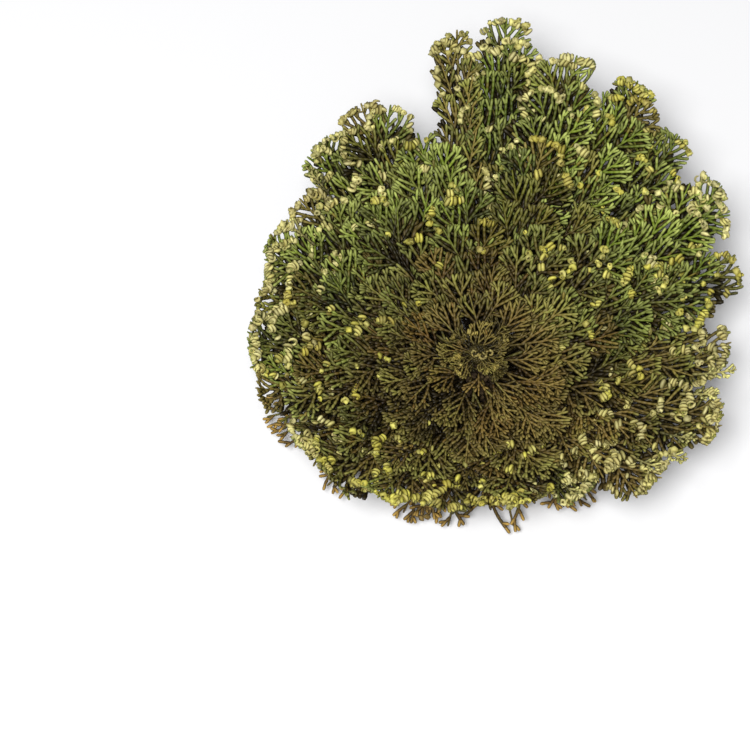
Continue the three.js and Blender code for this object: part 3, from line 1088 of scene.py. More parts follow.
@dataclass(frozen=True)
class Growth:
    """How a frond branches, in millimetres and degrees, before its size is applied."""

    bare: float = 0.18  # the share of a fan's rib below its lowest branch
    spacing: float = 1.9  # along a fan's rib from one branch to the next, on alternate sides
    end_gap: float = 1.4  # from the highest branch to the fan's end
    low_angle: float = 46.0  # between the rib and its lowest branch
    high_angle: float = 24.0  # and its highest
    twig: float = 7.0  # the longest twig
    fork: float = 5.0  # the longest fork of a twig
    twig_angle: float = 32.0
    uneven: float = 5.0  # how far any of these angles goes either way
    branch_straighten: float = 0.5  # how much of its angle a branch bends back
    straighten: float = 0.85  # and a twig
    wander: float = 28.0  # how far a shoot bends off its way at random
    clearance: float = 1.38  # from any other shoot, at which a shoot stops growing
    girth: float = 0.82  # a shoot's width against the joint's
    thickness: float = 1.0
    stretch: float = 1.0  # a joint's length against the usual
    least: float = 2.5  # the shortest shoot
    unlimited: float = 200.0  # a branch's length, if nothing stops it


@dataclass(frozen=True)
class FanSpread:
    """How a frond's fans are laid out and how they differ, as shares of the usual."""

    end_fan: float = 0.95  # the most of the frond that its end fan takes up
    first: float = 0.4  # in steps, how far past that fan's foot the others' row begins
    foot: float = 0.06  # how much of the frond has no fans
    step: Span = (0.7, 1.2)
    length: Span = (0.85, 1.05)
    spread: Span = (0.8, 1.15)
    angle: Span = (24.0, 38.0)  # degrees from the midrib
    climb: Span = (0.85, 1.15)
    tint: Span = (-0.3, 0.25)
    youth: Span = (-0.25, 0.25)
    rust: Span = (-2.5, 1.0)  # none below 0
    rust_depth: float = 0.4
    clusters: int = 7


@dataclass(frozen=True)
class RibSize:
    """How a rib differs from a twig, in joints of the frond's own size."""

    step: float = 1.2  # from one joint to the next
    reach: float = 0.92  # how much of the fan it goes along
    end: float = 0.4  # how much of a step is left free at its end
    stalk: float = 1.3  # how stout the midrib's bare stretch begins
    stout: float = 1.05  # how stout a fan's rib begins
    slender: float = 0.72  # and how both end
    length: float = 1.25
    width: float = 0.85
    height: float = 1.4
    raised: float = 0.2
    tint: Span = (0.1, 0.6)  # from a green rib to a bare one
    tan_end: float = 0.7  # how light a bare rib is
    tan_dry: float = 0.15  # and how dry


@dataclass(frozen=True)
class Wear:
    """How a joint's look follows from its frond's habit and from where it is."""

    straw: Span = (0.75, 1.0)  # dryness from foot to tip
    rusty: Span = (0.42, 0.2)
    old: float = 0.4
    dead: Span = (0.3, 1.0)
    dead_turn: int = 3  # how late a dead twig turns golden
    lone: float = 0.96  # the draw past which a joint has browned alone
    end_light: Span = (0.1, 1.0)  # of growing ends, from brown foliage to green
    foot: Span = (0.1, 0.7)  # where along a fan its foot's painted shade and browner age end
    # painted shade at a fan's foot, which lies under the fan before it
    painted_foot_shade: float = 0.75
    foot_age: float = 0.35
    tint_wander: float = 0.12
    age_wander: float = 0.05
    tint_age: float = 0.5  # how much greener a lighter twig is
    yellow: float = 0.15  # how pale a green frond's undersides are
    cream: float = 0.7  # and all others'
    pale_wander: float = 0.25


@dataclass(frozen=True)
class TwigSpread:
    """How a frond's twigs differ from each other."""

    branch_tint: Span = (-0.2, 0.2)
    tint: Span = (-0.3, 0.25)
    rise: Span = (0.0, 0.55)  # how far a twig's end stands up
    light_end: float = 4.5  # how far back from its tip it grows lighter
    branch_joints: int = 9  # in how many a branch takes its whole bend
    most_bend: float = 1.5
    branch_slack: Span = (0.7, 1.15)
    slack: Span = (0.93, 1.04)
    length: Span = (0.7, 1.1)
    clear: float = 0.2  # from its parent's middle to its foot
    layer_curls: float = 0.15  # how much less each fan further in is curled


@dataclass(frozen=True)
class CurlSpread:
    """How the curled tips differ from each other, in millimetres, radians or shares of the usual."""

    on: float = 0.85  # in pitches past the start of the last joint
    most_knobs: int = 3
    first_knob: Span = (0.8, 1.4)
    more_knobs: Span = (0.6, 1.0)
    aside: Span = (-0.95, 0.95)
    ahead: Span = (-0.6, 0.9)
    knob_raised: float = 0.6
    knob_climb: Span = (-0.6, 0.6)
    knob_across: Span = (1.2, 2.0)
    knob_thick: Span = (0.8, 1.0)
    # how much of a knob's pale underside shows over the painted brown shade
    knob_light: Span = (0.7, 1.0)
    knob_tint: Span = (-0.4, 0.7)
    knob_bank: Span = (-1.3, 1.3)
    double: float = 0.55  # the share of rolls that are two side by side
    roll: Span = (0.8, 1.2)
    lean: Span = (-0.25, 0.25)
    tipped: float = 1.2  # how far one may tip over sideways
    gap: float = 1.05  # from one to the next
    roll_raised: Span = (0.0, 0.2)
    base_tint: float = 0.25
    twig_tint: float = 0.5  # how much of its twig's shade it has
    tint: Span = (-0.4, 0.4)
    own: Span = (0.8, 1.15)
    own_lean: Span = (-0.15, 0.15)
    climb: Span = (0.0, 0.4)
    across: Span = (0.85, 1.1)
    # how much of a roll's pale underside shows over the painted brown shade
    light: Span = (0.6, 1.0)
    age: float = 0.8
    dry_share: float = 0.45  # how much of its twig's dryness it has


@dataclass
class Frond:
    """A flat frond: a midrib, and small fans of twigs at its end and on both sides."""

    name: str  # the node that it stands for, or a part of it
    midrib: Midrib
    seed: int
    moulds: Moulds
    fan_length: float = 24.0  # its end fan's
    fan_half: float = 8.0  # that fan's half width
    side_fans: int = 6  # at most
    side_step: float = 5.6  # along the midrib from one of them to the next
    spread: float = 9.0  # how far from the midrib their ends come
    habit: Habit = Habit.GREEN
    curled: float = 0.3  # the share of its edge whose tips are curled
    size: float = 1.0
    # its own tone, which the rosette and the old growth also use for painted shade
    tint: float = 0.0
    growth: Growth = Growth()
    curl: float = 1.0  # the size of its knobs and rolls
    tan_rib: float = 0.3  # how tan and bare its ribs are
    lift: float = 0.0  # how far it is lifted off its midrib's line
    held_back: float = 0.0  # how far short of the midrib's end its twigs stop
    climb: float = 0.09  # how steeply its fans rise, so that each lies over the next one outwards
    rusty_joint: float = 0.3  # how brown the few joints are that have browned alone
    inner_curls: float = 0.25  # the least share of the end fan's curls that the others have
    knobs: float = 0.72  # the share of its curls that are knobs, not rolls
    joint: LeafyJoint = LeafyJoint()
    ageing: Ageing = Ageing()

    CELL: ClassVar[int] = 2  # the side of a cell of the map of taken places
    FANS: ClassVar[FanSpread] = FanSpread()
    RIB: ClassVar[RibSize] = RibSize()
    WEAR: ClassVar[Wear] = Wear()
    TWIGS: ClassVar[TwigSpread] = TwigSpread()
    CURLS: ClassVar[CurlSpread] = CurlSpread()

    def __post_init__(self) -> None:
        """Starts the frond's own draws and its empty foliage."""
        self.random = np.random.default_rng(self.seed)
        self.foliage = Foliage.none_yet(self.moulds)
        self.taken: dict[tuple[int, int, int], list[tuple[float, float, int]]] = {}
        self.shoots = 0

    @property
    def pitch(self) -> float:
        """The distance from one joint to the next."""
        return self.joint.pitch * self.size * self.growth.stretch

    # ---- where the fans are

    def fans(self) -> list[Fan]:
        """Lays out the fans: one at the midrib's end, then alternate ones back along it, like shingles."""
        rule, random = self.FANS, self.random
        usable = self.midrib.length - self.held_back
        length = min(self.fan_length, rule.end_fan * usable)
        found = [self.fan_at(usable - length, 0.0, length, 0)]
        at = usable - length + rule.first * self.side_step
        for k in range(self.side_fans):
            at -= self.side_step * random.uniform(*rule.step)
            if at < rule.foot * usable:
                break
            side_length = length * random.uniform(*rule.length)
            widest = asin(clamp01(self.spread * random.uniform(*rule.spread) / side_length))
            heading = min(radians(random.uniform(*rule.angle)), widest)
            way = 1 if (k + self.seed) % 2 else -1
            found.append(self.fan_at(at, heading * way, side_length, 1 + k))
        return found

    def fan_at(self, along: float, heading: float, length: float, layer: int) -> Fan:
        """Makes a fan with its own seeded shade, tilt and curled stretches."""
        rule, random = self.FANS, self.random
        return Fan(
            along, heading, length, self.fan_half, above=self.lift,
            climb=self.climb * random.uniform(*rule.climb),
            layer=layer,
            tint=random.uniform(*rule.tint),
            youth=random.uniform(*rule.youth),
            rust=rule.rust_depth * max(0.0, random.uniform(*rule.rust)),
            clusters=tuple(random.random(rule.clusters)),
        )

    # ---- keeping clear

    def cell(self, along: float, across: float) -> tuple[int, int]:
        """Gives the column and row of a place on the map of taken places."""
        return int(along // self.CELL), int(across // self.CELL)

    def crowded(self, fan: Fan, along: float, across: float, own: int, parent: int) -> bool:
        """Says whether another shoot of the same layer than the given ones is too near a place."""
        least = (self.growth.clearance * self.size) ** 2
        column, row = self.cell(along, across)
        for cell in ((fan.layer, column + i, row + j) for i in (-1, 0, 1) for j in (-1, 0, 1)):
            for x, y, shoot in self.taken.get(cell, ()):
                if shoot not in (own, parent) and (x - along) ** 2 + (y - across) ** 2 < least:
                    return True
        return False

    def claim(self, fan: Fan, along: float, across: float, shoot: int) -> None:
        """Marks a place as taken by a shoot."""
        cell = (fan.layer, *self.cell(along, across))
        self.taken.setdefault(cell, []).append((along, across, shoot))

    # ---- how it looks

    def look(self, fan: Fan, along: float, across: float, tip: float, tint: float) -> tuple[float, ...]:
        """Works out a joint's look.

        Args:
            fan: The fan it is on.
            along: Where it is along the midrib.
            across: And across it.
            tip: How near it is to its shoot's end, from 0 to 1.
            tint: Its shoot's own shade.

        Returns:
            Its age, tip, dry, tint and pale values.
        """
        wear = self.WEAR
        at = min(max(along, 0.0), self.midrib.length - 1)
        distance = float(self.midrib.outward[int(at)])
        bearing = self.midrib.azimuth + degrees(atan2(across, max(distance, 1.0)))
        wander = self.random.uniform(-1, 1)
        green = self.ageing.green(distance, bearing)
        dry = {
            Habit.STRAW: mix(*wear.straw, tip),
            Habit.RUSTY: mix(*wear.rusty, tip),
            Habit.OLD: wear.old,
            Habit.DEAD: mix(*wear.dead, tip**wear.dead_turn),
        }.get(self.habit, max(fan.rust, self.rusty_joint * (wander > wear.lone)))
        light = 0.0 if self.habit is Habit.OLD else tip * mix(*wear.end_light, green)
        # a fan's foot gets painted shade and browner age
        foot = 1 - smooth(*wear.foot, fan.local(along, across)[0] / fan.length)
        age = green + fan.youth + wear.age_wander * wander + wear.tint_age * tint - wear.foot_age * foot
        shade = tint + self.tint + fan.tint + wear.tint_wander * wander - wear.painted_foot_shade * foot
        pale = (wear.yellow if self.habit is Habit.GREEN else wear.cream) + wear.pale_wander * wander
        return clamp01(age), clamp01(light), clamp01(dry), max(-1.0, min(1.0, shade)), clamp01(pale)

    # ---- growing

    def grow(self) -> "Frond":
        """Grows all fans' ribs, then all branches, then their twigs, then those twigs' forks.

        Returns:
            The frond itself.
        """
        waiting: deque[Shoot] = deque()
        fans = self.fans()
        self.stalk(fans[0])
        for fan in fans:
            waiting.extend(self.branches(fan))
        while waiting:
            shoot = waiting.popleft()
            waiting.extend(self.side_shoots(shoot, self.extend(shoot)))
        return self

    def laid(self) -> list[Laid]:
        """Lays the frond's foliage in the plant's frame."""
        return self.foliage.laid(self.midrib)

    def rib(self, fan: Fan, start: float, length: float, stout: float) -> None:
        """Lays the joints of a rib, raised and narrower than a twig's, from a fan's foot.

        Args:
            fan: The fan.
            start: Where it begins, from the fan's foot.
            length: How long it is.
            stout: How stout it is at its foot.
        """
        rule = self.RIB
        self.shoots += 1
        step = rule.step * self.pitch
        stations = np.arange(start, start + length - rule.end * step, step)
        for ahead in stations:
            along, across = beside((fan.along, 0.0, fan.heading), ahead)
            slimming = clamp01((ahead - start) / length)
            thick = mix(stout, rule.slender, slimming) * self.size * self.growth.girth
            self.claim(fan, along, across, self.shoots)
            bare = self.tan_rib * (1 - (ahead - start) / length)
            age, tip, dry, tint, pale = self.look(fan, along, across, 0.0, mix(*rule.tint, bare))
            kind = self.foliage.tips if start >= 0 and ahead == stations[-1] else self.foliage.joints
            kind.add(
                (along, across, fan.height(along, across) + rule.raised * self.tan_rib * self.size),
                fan.heading, fan.climb,
                (rule.length * self.size * self.growth.stretch, rule.width * thick, rule.height * thick),
                (age, max(tip, rule.tan_end * bare), max(dry, rule.tan_dry * bare), tint, pale),
            )

    def stalk(self, end_fan: Fan) -> None:
        """Lays the bare stretch of the midrib up to its end fan."""
        self.rib(end_fan, -end_fan.along, end_fan.along, self.RIB.stalk)

    def branches(self, fan: Fan) -> Iterator[Shoot]:
        """Lays a fan's rib and gives the branches that leave it, from the lowest to the highest."""
        growth, size, random = self.growth, self.size, self.random
        self.rib(fan, 0.0, self.RIB.reach * fan.length, self.RIB.stout)
        parent = self.shoots
        roots = np.arange(growth.bare * fan.length, fan.length - growth.end_gap * size, growth.spacing * size)
        for k, root in enumerate(roots):
            way = 1 if k % 2 else -1
            usual = mix(growth.low_angle, growth.high_angle, root / fan.length)
            angle = radians(usual + random.uniform(-growth.uneven, growth.uneven)) * way
            yield Shoot(
                fan, *beside((fan.along, 0.0, fan.heading), root), fan.heading + angle, growth.unlimited,
                self.bend(-growth.branch_straighten * angle), 1, random.uniform(*self.TWIGS.branch_slack),
                parent, random.uniform(*self.TWIGS.branch_tint),
            )

    def bend(self, usual: float) -> float:
        """Gives how far a shoot bends, in radians, with a wander of its own."""
        return usual + radians(self.growth.wander) * self.random.uniform(-1, 1)

    def extend(self, shoot: Shoot) -> list[Point]:
        """Grows one shoot, joint by joint, until its length, the fan's edge or another shoot stops it.

        Args:
            shoot: The shoot.

        Returns:
            Its joints as their places along and across and their headings; none if it would be too short.
        """
        self.shoots += 1
        own = self.shoots
        along, across = shoot.along, shoot.across
        track: list[Point] = []
        at_edge = False
        most = max(1, round(shoot.length / self.pitch))
        usual = self.TWIGS.branch_joints if shoot.order == 1 else most
        while len(track) < most:
            turn = shoot.heading + shoot.bend * min(self.TWIGS.most_bend, len(track) / usual)
            ahead = beside((along, across, turn), self.pitch)
            at_edge = shoot.fan.past_edge(*ahead, shoot.slack)
            if at_edge or self.crowded(shoot.fan, *ahead, own, shoot.parent):
                break
            track.append((along, across, turn))
            along, across = ahead
        if not track or not shoot.near_end and len(track) * self.pitch < self.growth.least * self.size:
            return []
        share = self.curled * max(self.inner_curls, 1 - self.TWIGS.layer_curls * shoot.fan.layer)
        curled = at_edge and shoot.fan.cluster(along, across) < share
        self.lay(shoot, own, track, curled)
        return track

    def lay(self, shoot: Shoot, own: int, track: list[Point], curled: bool) -> None:
        """Lays a shoot's joints and, if it is curled, the curl at its end.

        Args:
            shoot: The shoot.
            own: Its number.
            track: Its joints.
            curled: True if its tip is curled up.
        """
        growth, size = self.growth, self.size
        tint = shoot.tint + self.random.uniform(*self.TWIGS.tint)
        rise = self.random.uniform(*self.TWIGS.rise) * size
        for i, (along, across, turn) in enumerate(track):
            share = (i + 1) / len(track)
            tip = 1 - clamp01((len(track) - 1 - i) * self.pitch / self.TWIGS.light_end)
            above = shoot.fan.height(along, across) + rise * share * share
            kind = self.foliage.tips if i == len(track) - 1 and not curled else self.foliage.joints
            self.claim(shoot.fan, along, across, own)
            kind.add(
                (along, across, above), turn, shoot.fan.climb + 2 * rise * share / (len(track) * self.pitch),
                (size * growth.stretch, size * growth.girth, size * growth.thickness),
                self.look(shoot.fan, along, across, tip, tint),
            )
        if curled:
            self.curl_tip(shoot.fan, track[-1], shoot.fan.height(*track[-1][:2]) + rise, tint)

    def curl_tip(self, fan: Fan, end: Point, above: float, tint: float) -> None:
        """Curls a shoot's tip up, into a knob or a roll.

        Args:
            fan: The fan it is on.
            end: Its last joint's place along and across and its heading.
            above: That joint's height.
            tint: The shoot's own shade.
        """
        along, across, _ = end
        _, _, dry, _, pale = self.look(fan, along, across, 1.0, 0.0)
        if self.random.random() < self.knobs:
            self.knob_bunch(end, above, dry, pale)
        else:
            self.roll_pair(end, above, dry, pale, tint)

    def knob_bunch(self, end: Point, above: float, dry: float, pale: float) -> None:
        """Ends a shoot in a few knobs.

        Args:
            end: Its last joint's place along and across and its heading.
            above: That joint's height.
            dry: How dry it is there.
            pale: How pale its underside is.
        """
        rule, random = self.CURLS, self.random
        for k in range(random.integers(1, rule.most_knobs + 1)):
            girth = self.curl * random.uniform(*(rule.more_knobs if k else rule.first_knob)) * self.size
            aside = random.uniform(*rule.aside) * (k > 0)
            ahead = self.pitch * rule.on + random.uniform(*rule.ahead) * (k > 0)
            heading = random.uniform(0, tau)
            climb = random.uniform(*rule.knob_climb)
            across = random.uniform(*rule.knob_across) * girth
            scale = (girth, across, random.uniform(*rule.knob_thick) * girth)
            light = random.uniform(*rule.knob_light)
            look = (rule.age, light, rule.dry_share * dry, random.uniform(*rule.knob_tint), pale)
            self.foliage.knobs.add(
                (*beside(end, ahead, aside), above + rule.knob_raised * girth), heading, climb, scale, look,
                random.uniform(*rule.knob_bank),
            )

    def roll_pair(self, end: Point, above: float, dry: float, pale: float, tint: float) -> None:
        """Ends a shoot in one roll or in two side by side.

        Args:
            end: Its last joint's place along and across and its heading.
            above: That joint's height.
            dry: How dry it is there.
            pale: How pale its underside is.
            tint: Its own shade.
        """
        rule, random = self.CURLS, self.random
        count = 2 if random.random() < rule.double else 1
        girth = self.curl * random.uniform(*rule.roll) * self.size
        lean = random.uniform(*rule.lean)
        bank = 0.0 if self.habit is Habit.GREEN else rule.tipped * random.uniform(-1.0, 1.0) ** 3
        for k in range(count):
            aside = (k - (count - 1) / 2) * rule.gap * girth
            place = (*beside(end, self.pitch * rule.on, aside), above + random.uniform(*rule.roll_raised))
            shade = rule.base_tint + rule.twig_tint * tint + random.uniform(*rule.tint)
            own = girth * random.uniform(*rule.own)
            heading = end[2] + lean + random.uniform(*rule.own_lean)
            climb = random.uniform(*rule.climb)
            scale = (own, girth * random.uniform(*rule.across), own)
            light = random.uniform(*rule.light)
            look = (rule.age, light, rule.dry_share * dry, max(-1.0, min(1.0, shade)), pale)
            self.foliage.rolls.add(place, heading, climb, scale, look, bank)

    def side_shoots(self, shoot: Shoot, track: list[Point]) -> Iterator[Shoot]:
        """Gives the shoots that leave a shoot, on alternate sides.

        Args:
            shoot: The shoot.
            track: Its joints.

        Yields:
            Each side shoot.
        """
        growth, rule, random = self.growth, self.TWIGS, self.random
        if shoot.order > 2:
            return
        parent = self.shoots
        for i, (along, across, turn) in enumerate(track[1:], start=1):
            way = 1 if (i + shoot.order) % 2 else -1
            angle = radians(growth.twig_angle + random.uniform(-growth.uneven, growth.uneven)) * way
            heading = turn + angle
            longest = growth.twig if shoot.order == 1 else growth.fork
            yield Shoot(
                shoot.fan, *beside((along, across, heading), rule.clear), heading,
                longest * random.uniform(*rule.length) * self.size, self.bend(-growth.straighten * angle),
                shoot.order + 1, shoot.slack * random.uniform(*rule.slack), parent, shoot.tint,
                near_end=i >= len(track) - 2,
            )


# ---- The rosette ---------------------------------------------------------------------------------


@dataclass
class Part:
    """What every sub-assembly has: its finishes, its moulds and the way its pieces are made."""

    palette: Palette
    moulds: Moulds

    def piece(self, name: str, laid: list[Laid], finish: LeafFinish | BarkFinish) -> Thing:
        """Makes, dresses and reports one piece.

        Args:
            name: Its name.
            laid: What it is made of.
            finish: Its finish.

        Returns:
            The piece.
        """
        made = copied_piece(name, laid)
        self.palette.dress(made, finish)
        log.info("%s: %d triangles", made.name, len(made.data.polygons))
        return made


def start_at(level: float) -> float:
    """Gives where a frond at a level leaves the crown, from the axis."""
    return FORM.crown_radius(level) + FORM.crown_knob + FORM.gap


@dataclass
class Rosette(Part):
    """The rim's whorls and the spiral of fronds inside them, laid out as the solids are."""

    rim_level: float = 15.4
    rim_step: float = 2.0
    rim_whorls: int = 3
    rim_roll: Span = (50.0, 130.0)  # degrees
    rim_roll_radius: Span = (5.0, 6.5)
    rim_sweep: Span = (-2.0, 2.0)
    rim_opened: float = 0.55  # how far its rolled ends have opened, as a share
    rim_wave: float = 0.5
    rim_tint: Span = (-0.2, 0.1)
    painted_front_shade: float = 0.2  # painted shade: how much darker its front is
    rim_curled: float = 0.9
    green_rim_curled: float = 0.55
    rim_knobs: Span = (0.35, 0.7)  # the share of its curls, from front to back
    rim_growth: Growth = Growth(wander=38.0)
    longer_rim: float = 98.0  # the reach past which it has more side fans
    fan_every: float = 5.0  # and the further reach for each
    old_under: int = 14  # how many of the spiral's fronds have old growth under them
    doubled_beyond: float = 72.0  # the length past which a rim frond has two layers of it
    spiral_level: float = 21.1
    spiral_step: float = 0.32
    spiral_count: int = 32
    spiral_start: float = 20.0  # the first frond's azimuth
    spiral_longest: float = 0.86
    spiral_shortest: float = 0.2
    spiral_roll: Span = (20.0, 70.0)  # degrees
    spiral_roll_radius: Span = (3.5, 4.5)
    spiral_sweep: Span = (-0.03, 0.03)  # as a share of the frond's length
    spiral_opened: float = 0.5
    spiral_wave: float = 0.3
    spiral_tint: Span = (-0.28, 0.02)
    inner_light: float = 0.5  # how much lighter its shortest fronds are
    dimmest: float = 190.0  # the azimuth of its fronds with the deepest painted shade
    # how deep that painted shade is
    painted_shade_depth: float = 0.26
    spiral_curled: float = 0.4
    curled_reach: Span = (36.0, 62.0)
    tan_ribbed: float = 0.3  # the share of its fronds with tan ribs
    short: float = 8.0  # the length of the shortest kind of frond
    longer: float = 40.0  # and how much longer the longest kind is
    rim: tuple[tuple[float, float, Habit], ...] = (
        (1, 84, Habit.RUSTY), (18, 93, Habit.GREEN), (33, 98, Habit.CREAM), (47, 104, Habit.GREEN),
        (60, 108, Habit.GREEN), (71, 113, Habit.CREAM), (84, 122, Habit.CREAM), (93, 112, Habit.RUSTY),
        (113, 97, Habit.CREAM), (124, 91, Habit.CREAM), (136, 84, Habit.CREAM), (150, 78, Habit.CREAM),
        (163, 75, Habit.CREAM), (176, 75, Habit.CREAM), (190, 74, Habit.GREEN), (206, 69, Habit.CREAM),
        (222, 65, Habit.GREEN), (238, 62, Habit.GREEN), (254, 55.5, Habit.GREEN), (271, 52, Habit.GREEN),
        (289, 54, Habit.GREEN), (306, 61, Habit.CREAM), (322, 72, Habit.RUSTY), (340, 81, Habit.RUSTY),
    )  # azimuth in degrees, reach in millimetres, and habit, anticlockwise from +X
    forks: tuple[tuple[int, float, float, Habit], ...] = (
        (9, 103, 88, Habit.GREEN), (24, 353, 90, Habit.STRAW), (24, 347, 86, Habit.STRAW),
        (24, 334, 83, Habit.STRAW), (23, 329, 83, Habit.STRAW), (23, 324, 78, Habit.STRAW),
        (12, 144, 86, Habit.STRAW), (10, 130, 95, Habit.STRAW), (22, 302, 64, Habit.STRAW),
    )  # the frond that it leaves, azimuth, reach and habit
    narrowest: int = 8  # the number of the rim's one slender frond
    narrowness: float = 0.55
    fork_starts: float = 0.5  # where a fork leaves its frond, as a share of its reach
    spray_starts: float = 0.78  # and a thin straw spray
    fork_raised: float = 0.5
    spray_raised: float = 2.0
    spray: Growth = Growth(
        spacing=1.7, low_angle=48, high_angle=36, clearance=1.15,
        least=1.0, twig=2.0, stretch=0.7, girth=0.95,
    )
    coarse: Growth = Growth(
        bare=0.1, spacing=2.9, clearance=1.9, girth=1.15, thickness=0.9, stretch=1.4, least=2.6, twig=9.0,
    )
    old_turn: Span = (1.0, -3.0)  # of the first and the second layer, in degrees
    old_lift: Span = (-1.9, -3.6)
    old_held_back: Span = (6.5, 12.0)
    old_step: float = 1.2
    old_seed: int = 500

    def rim_fronds(self) -> Iterator[Frond]:
        """Lays out the rim's fronds, by turns in its three whorls."""
        for i, (azimuth, reach, habit) in enumerate(self.rim):
            draw = draws(RIM_DRAWS + i)
            level = self.rim_level + (i % self.rim_whorls) * self.rim_step
            roll = self.rim_opened * radians(mix(*self.rim_roll, draw()))
            roll_radius = mix(*self.rim_roll_radius, draw())
            draw()  # the solid's own curl
            sweep = mix(*self.rim_sweep, draw())
            opened = roll_radius / self.rim_opened - roll_radius
            midrib = Midrib.along_bowl(
                start_at(level), level, reach + opened, roll, roll_radius + opened, azimuth, sweep
            )
            midrib.wave = self.rim_wave
            narrow = self.narrowness if i + 1 == self.narrowest else 1.0
            back = sin(radians(azimuth))
            more_fans = max(0, round((reach - self.longer_rim) / self.fan_every))
            yield Frond(
                f"rim_frond_{i + 1:02d}", midrib, RIM_SEED + i, self.moulds, fan_length=20,
                fan_half=8.4 * narrow, side_fans=8 + more_fans, spread=11 * narrow, habit=habit, tan_rib=0.2,
                # painted shade darkens the rim's front fronds
                tint=mix(*self.rim_tint, draw()) - self.painted_front_shade * smooth(0.2, 0.8, -back),
                curled=self.green_rim_curled if habit is Habit.GREEN else self.rim_curled,
                knobs=mix(*self.rim_knobs, smooth(-0.2, 0.4, back)), growth=self.rim_growth,
            )

    def spiral_fronds(self) -> Iterator[Frond]:
        """Lays out the spiral, from its lowest and longest frond to its highest and shortest."""
        for i in range(self.spiral_count):
            draw = draws(SPIRAL_DRAWS + i)
            azimuth = (self.spiral_start + i * GOLDEN_ANGLE) % 360
            share = i / (self.spiral_count - 1)
            level = self.spiral_level + i * self.spiral_step
            out = mix(self.spiral_longest, self.spiral_shortest, share)
            reach = FORM.reach(azimuth) * out
            length = reach - FORM.crown_radius(level)
            roll = self.spiral_opened * radians(mix(*self.spiral_roll, draw()))
            roll_radius = mix(*self.spiral_roll_radius, draw())
            draw()  # the solid's own curl
            sweep = mix(*self.spiral_sweep, draw()) * length
            midrib = Midrib.along_bowl(start_at(level), level, reach, roll, roll_radius, azimuth, sweep)
            midrib.wave = self.spiral_wave
            long = clamp01((length - self.short) / self.longer)
            # painted shade, deepest round one side of the spiral
            shaded = self.painted_shade_depth * smooth(-0.2, 0.6, cos(radians(azimuth - self.dimmest)))
            yield Frond(
                f"frond_{i + 1:02d}", midrib, SPIRAL_SEED + i, self.moulds, fan_length=mix(14, 20, long),
                fan_half=mix(5.0, 8.2, long), side_fans=round(mix(4, 7, long)), side_step=mix(3.2, 5.8, long),
                spread=mix(4, 11, long), curled=self.spiral_curled * smooth(*self.curled_reach, reach),
                size=mix(0.76, 1.04, long),
                tint=mix(*self.spiral_tint, draw()) + self.inner_light * (1 - long) - shaded,
                tan_rib=0.8 if draw() > 1 - self.tan_ribbed else 0.15,
                growth=Growth(
                    low_angle=mix(38, 46, long), high_angle=mix(20, 24, long), twig_angle=mix(28, 32, long),
                    wander=mix(45, 28, long),
                ),
            )

    def forks_of(self, number: int, frond: Frond) -> list[Laid]:
        """Grows the side fronds that fork off a rim frond: green ones as broad as itself, straw ones thin.

        Args:
            number: The rim frond's number.
            frond: The rim frond.

        Returns:
            The side fronds' foliage, laid.
        """
        laid: list[Laid] = []
        for k, (host, azimuth, reach, habit) in enumerate(self.forks):
            if host != number:
                continue
            thin = habit is Habit.STRAW
            start = (self.spray_starts if thin else self.fork_starts) * reach
            level = float(np.interp(start, frond.midrib.outward, frond.midrib.up))
            level += self.spray_raised if thin else self.fork_raised
            midrib = Midrib.along_bowl(
                start, level, reach, roll=0.4, roll_radius=9.0, azimuth=azimuth, sweep=1.0
            )
            side = Frond(f"fork_{k + 1}", midrib, FORK_SEED + k, self.moulds, habit=habit)
            if thin:
                side = replace(
                    side, fan_length=0.9 * midrib.length, fan_half=2.4, side_fans=0, curled=0.0, size=0.8,
                    growth=self.spray, lift=0.5, tan_rib=0.0,
                )
            else:
                side = replace(side, side_fans=4, curled=0.35, size=1.05, lift=0.3)
            laid += side.grow().laid()
        return laid

    def old_growth(self, frond: Frond, layer: int = 0) -> list[Laid]:
        """Grows the coarse, browned older foliage that lies close under a frond, darkened with painted shade.

        Args:
            frond: The frond above it.
            layer: 0 for the layer next to the frond, 1 for the next one down.

        Returns:
            That foliage, laid.
        """
        old = replace(
            frond,
            midrib=replace(frond.midrib, azimuth=frond.midrib.azimuth + self.old_turn[layer]),
            seed=frond.seed + self.old_seed * layer,
            # tint -0.8 is painted shade for the gaps under the frond above, over the old foliage's own brown
            habit=Habit.OLD, curled=0.0, tint=-0.8, growth=self.coarse, tan_rib=0.0, climb=0.04,
            lift=self.old_lift[layer], held_back=self.old_held_back[layer],
            side_step=self.old_step * frond.side_step,
        )
        return old.grow().laid()

    def build(self) -> None:
        """Grows, dresses and reports every frond."""
        for number, frond in enumerate(self.rim_fronds(), start=1):
            under = self.old_growth(frond) + self.forks_of(number, frond)
            if frond.midrib.length > self.doubled_beyond:
                under += self.old_growth(frond, layer=1)
            self.finish(frond, self.palette.rim, under)
        for i, frond in enumerate(self.spiral_fronds()):
            self.finish(frond, self.palette.green, self.old_growth(frond) if i < self.old_under else [])

    def finish(self, frond: Frond, finish: LeafFinish, under: list[Laid]) -> None:
        """Makes a frond's piece, which stands for its solid.

        Args:
            frond: The frond.
            finish: Its finish.
            under: Other foliage of the same piece.
        """
        piece = self.piece(f"{frond.name}_leaves", frond.grow().laid() + under, finish)
        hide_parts(frond.name)


# ---- The heart -----------------------------------------------------------------------------------


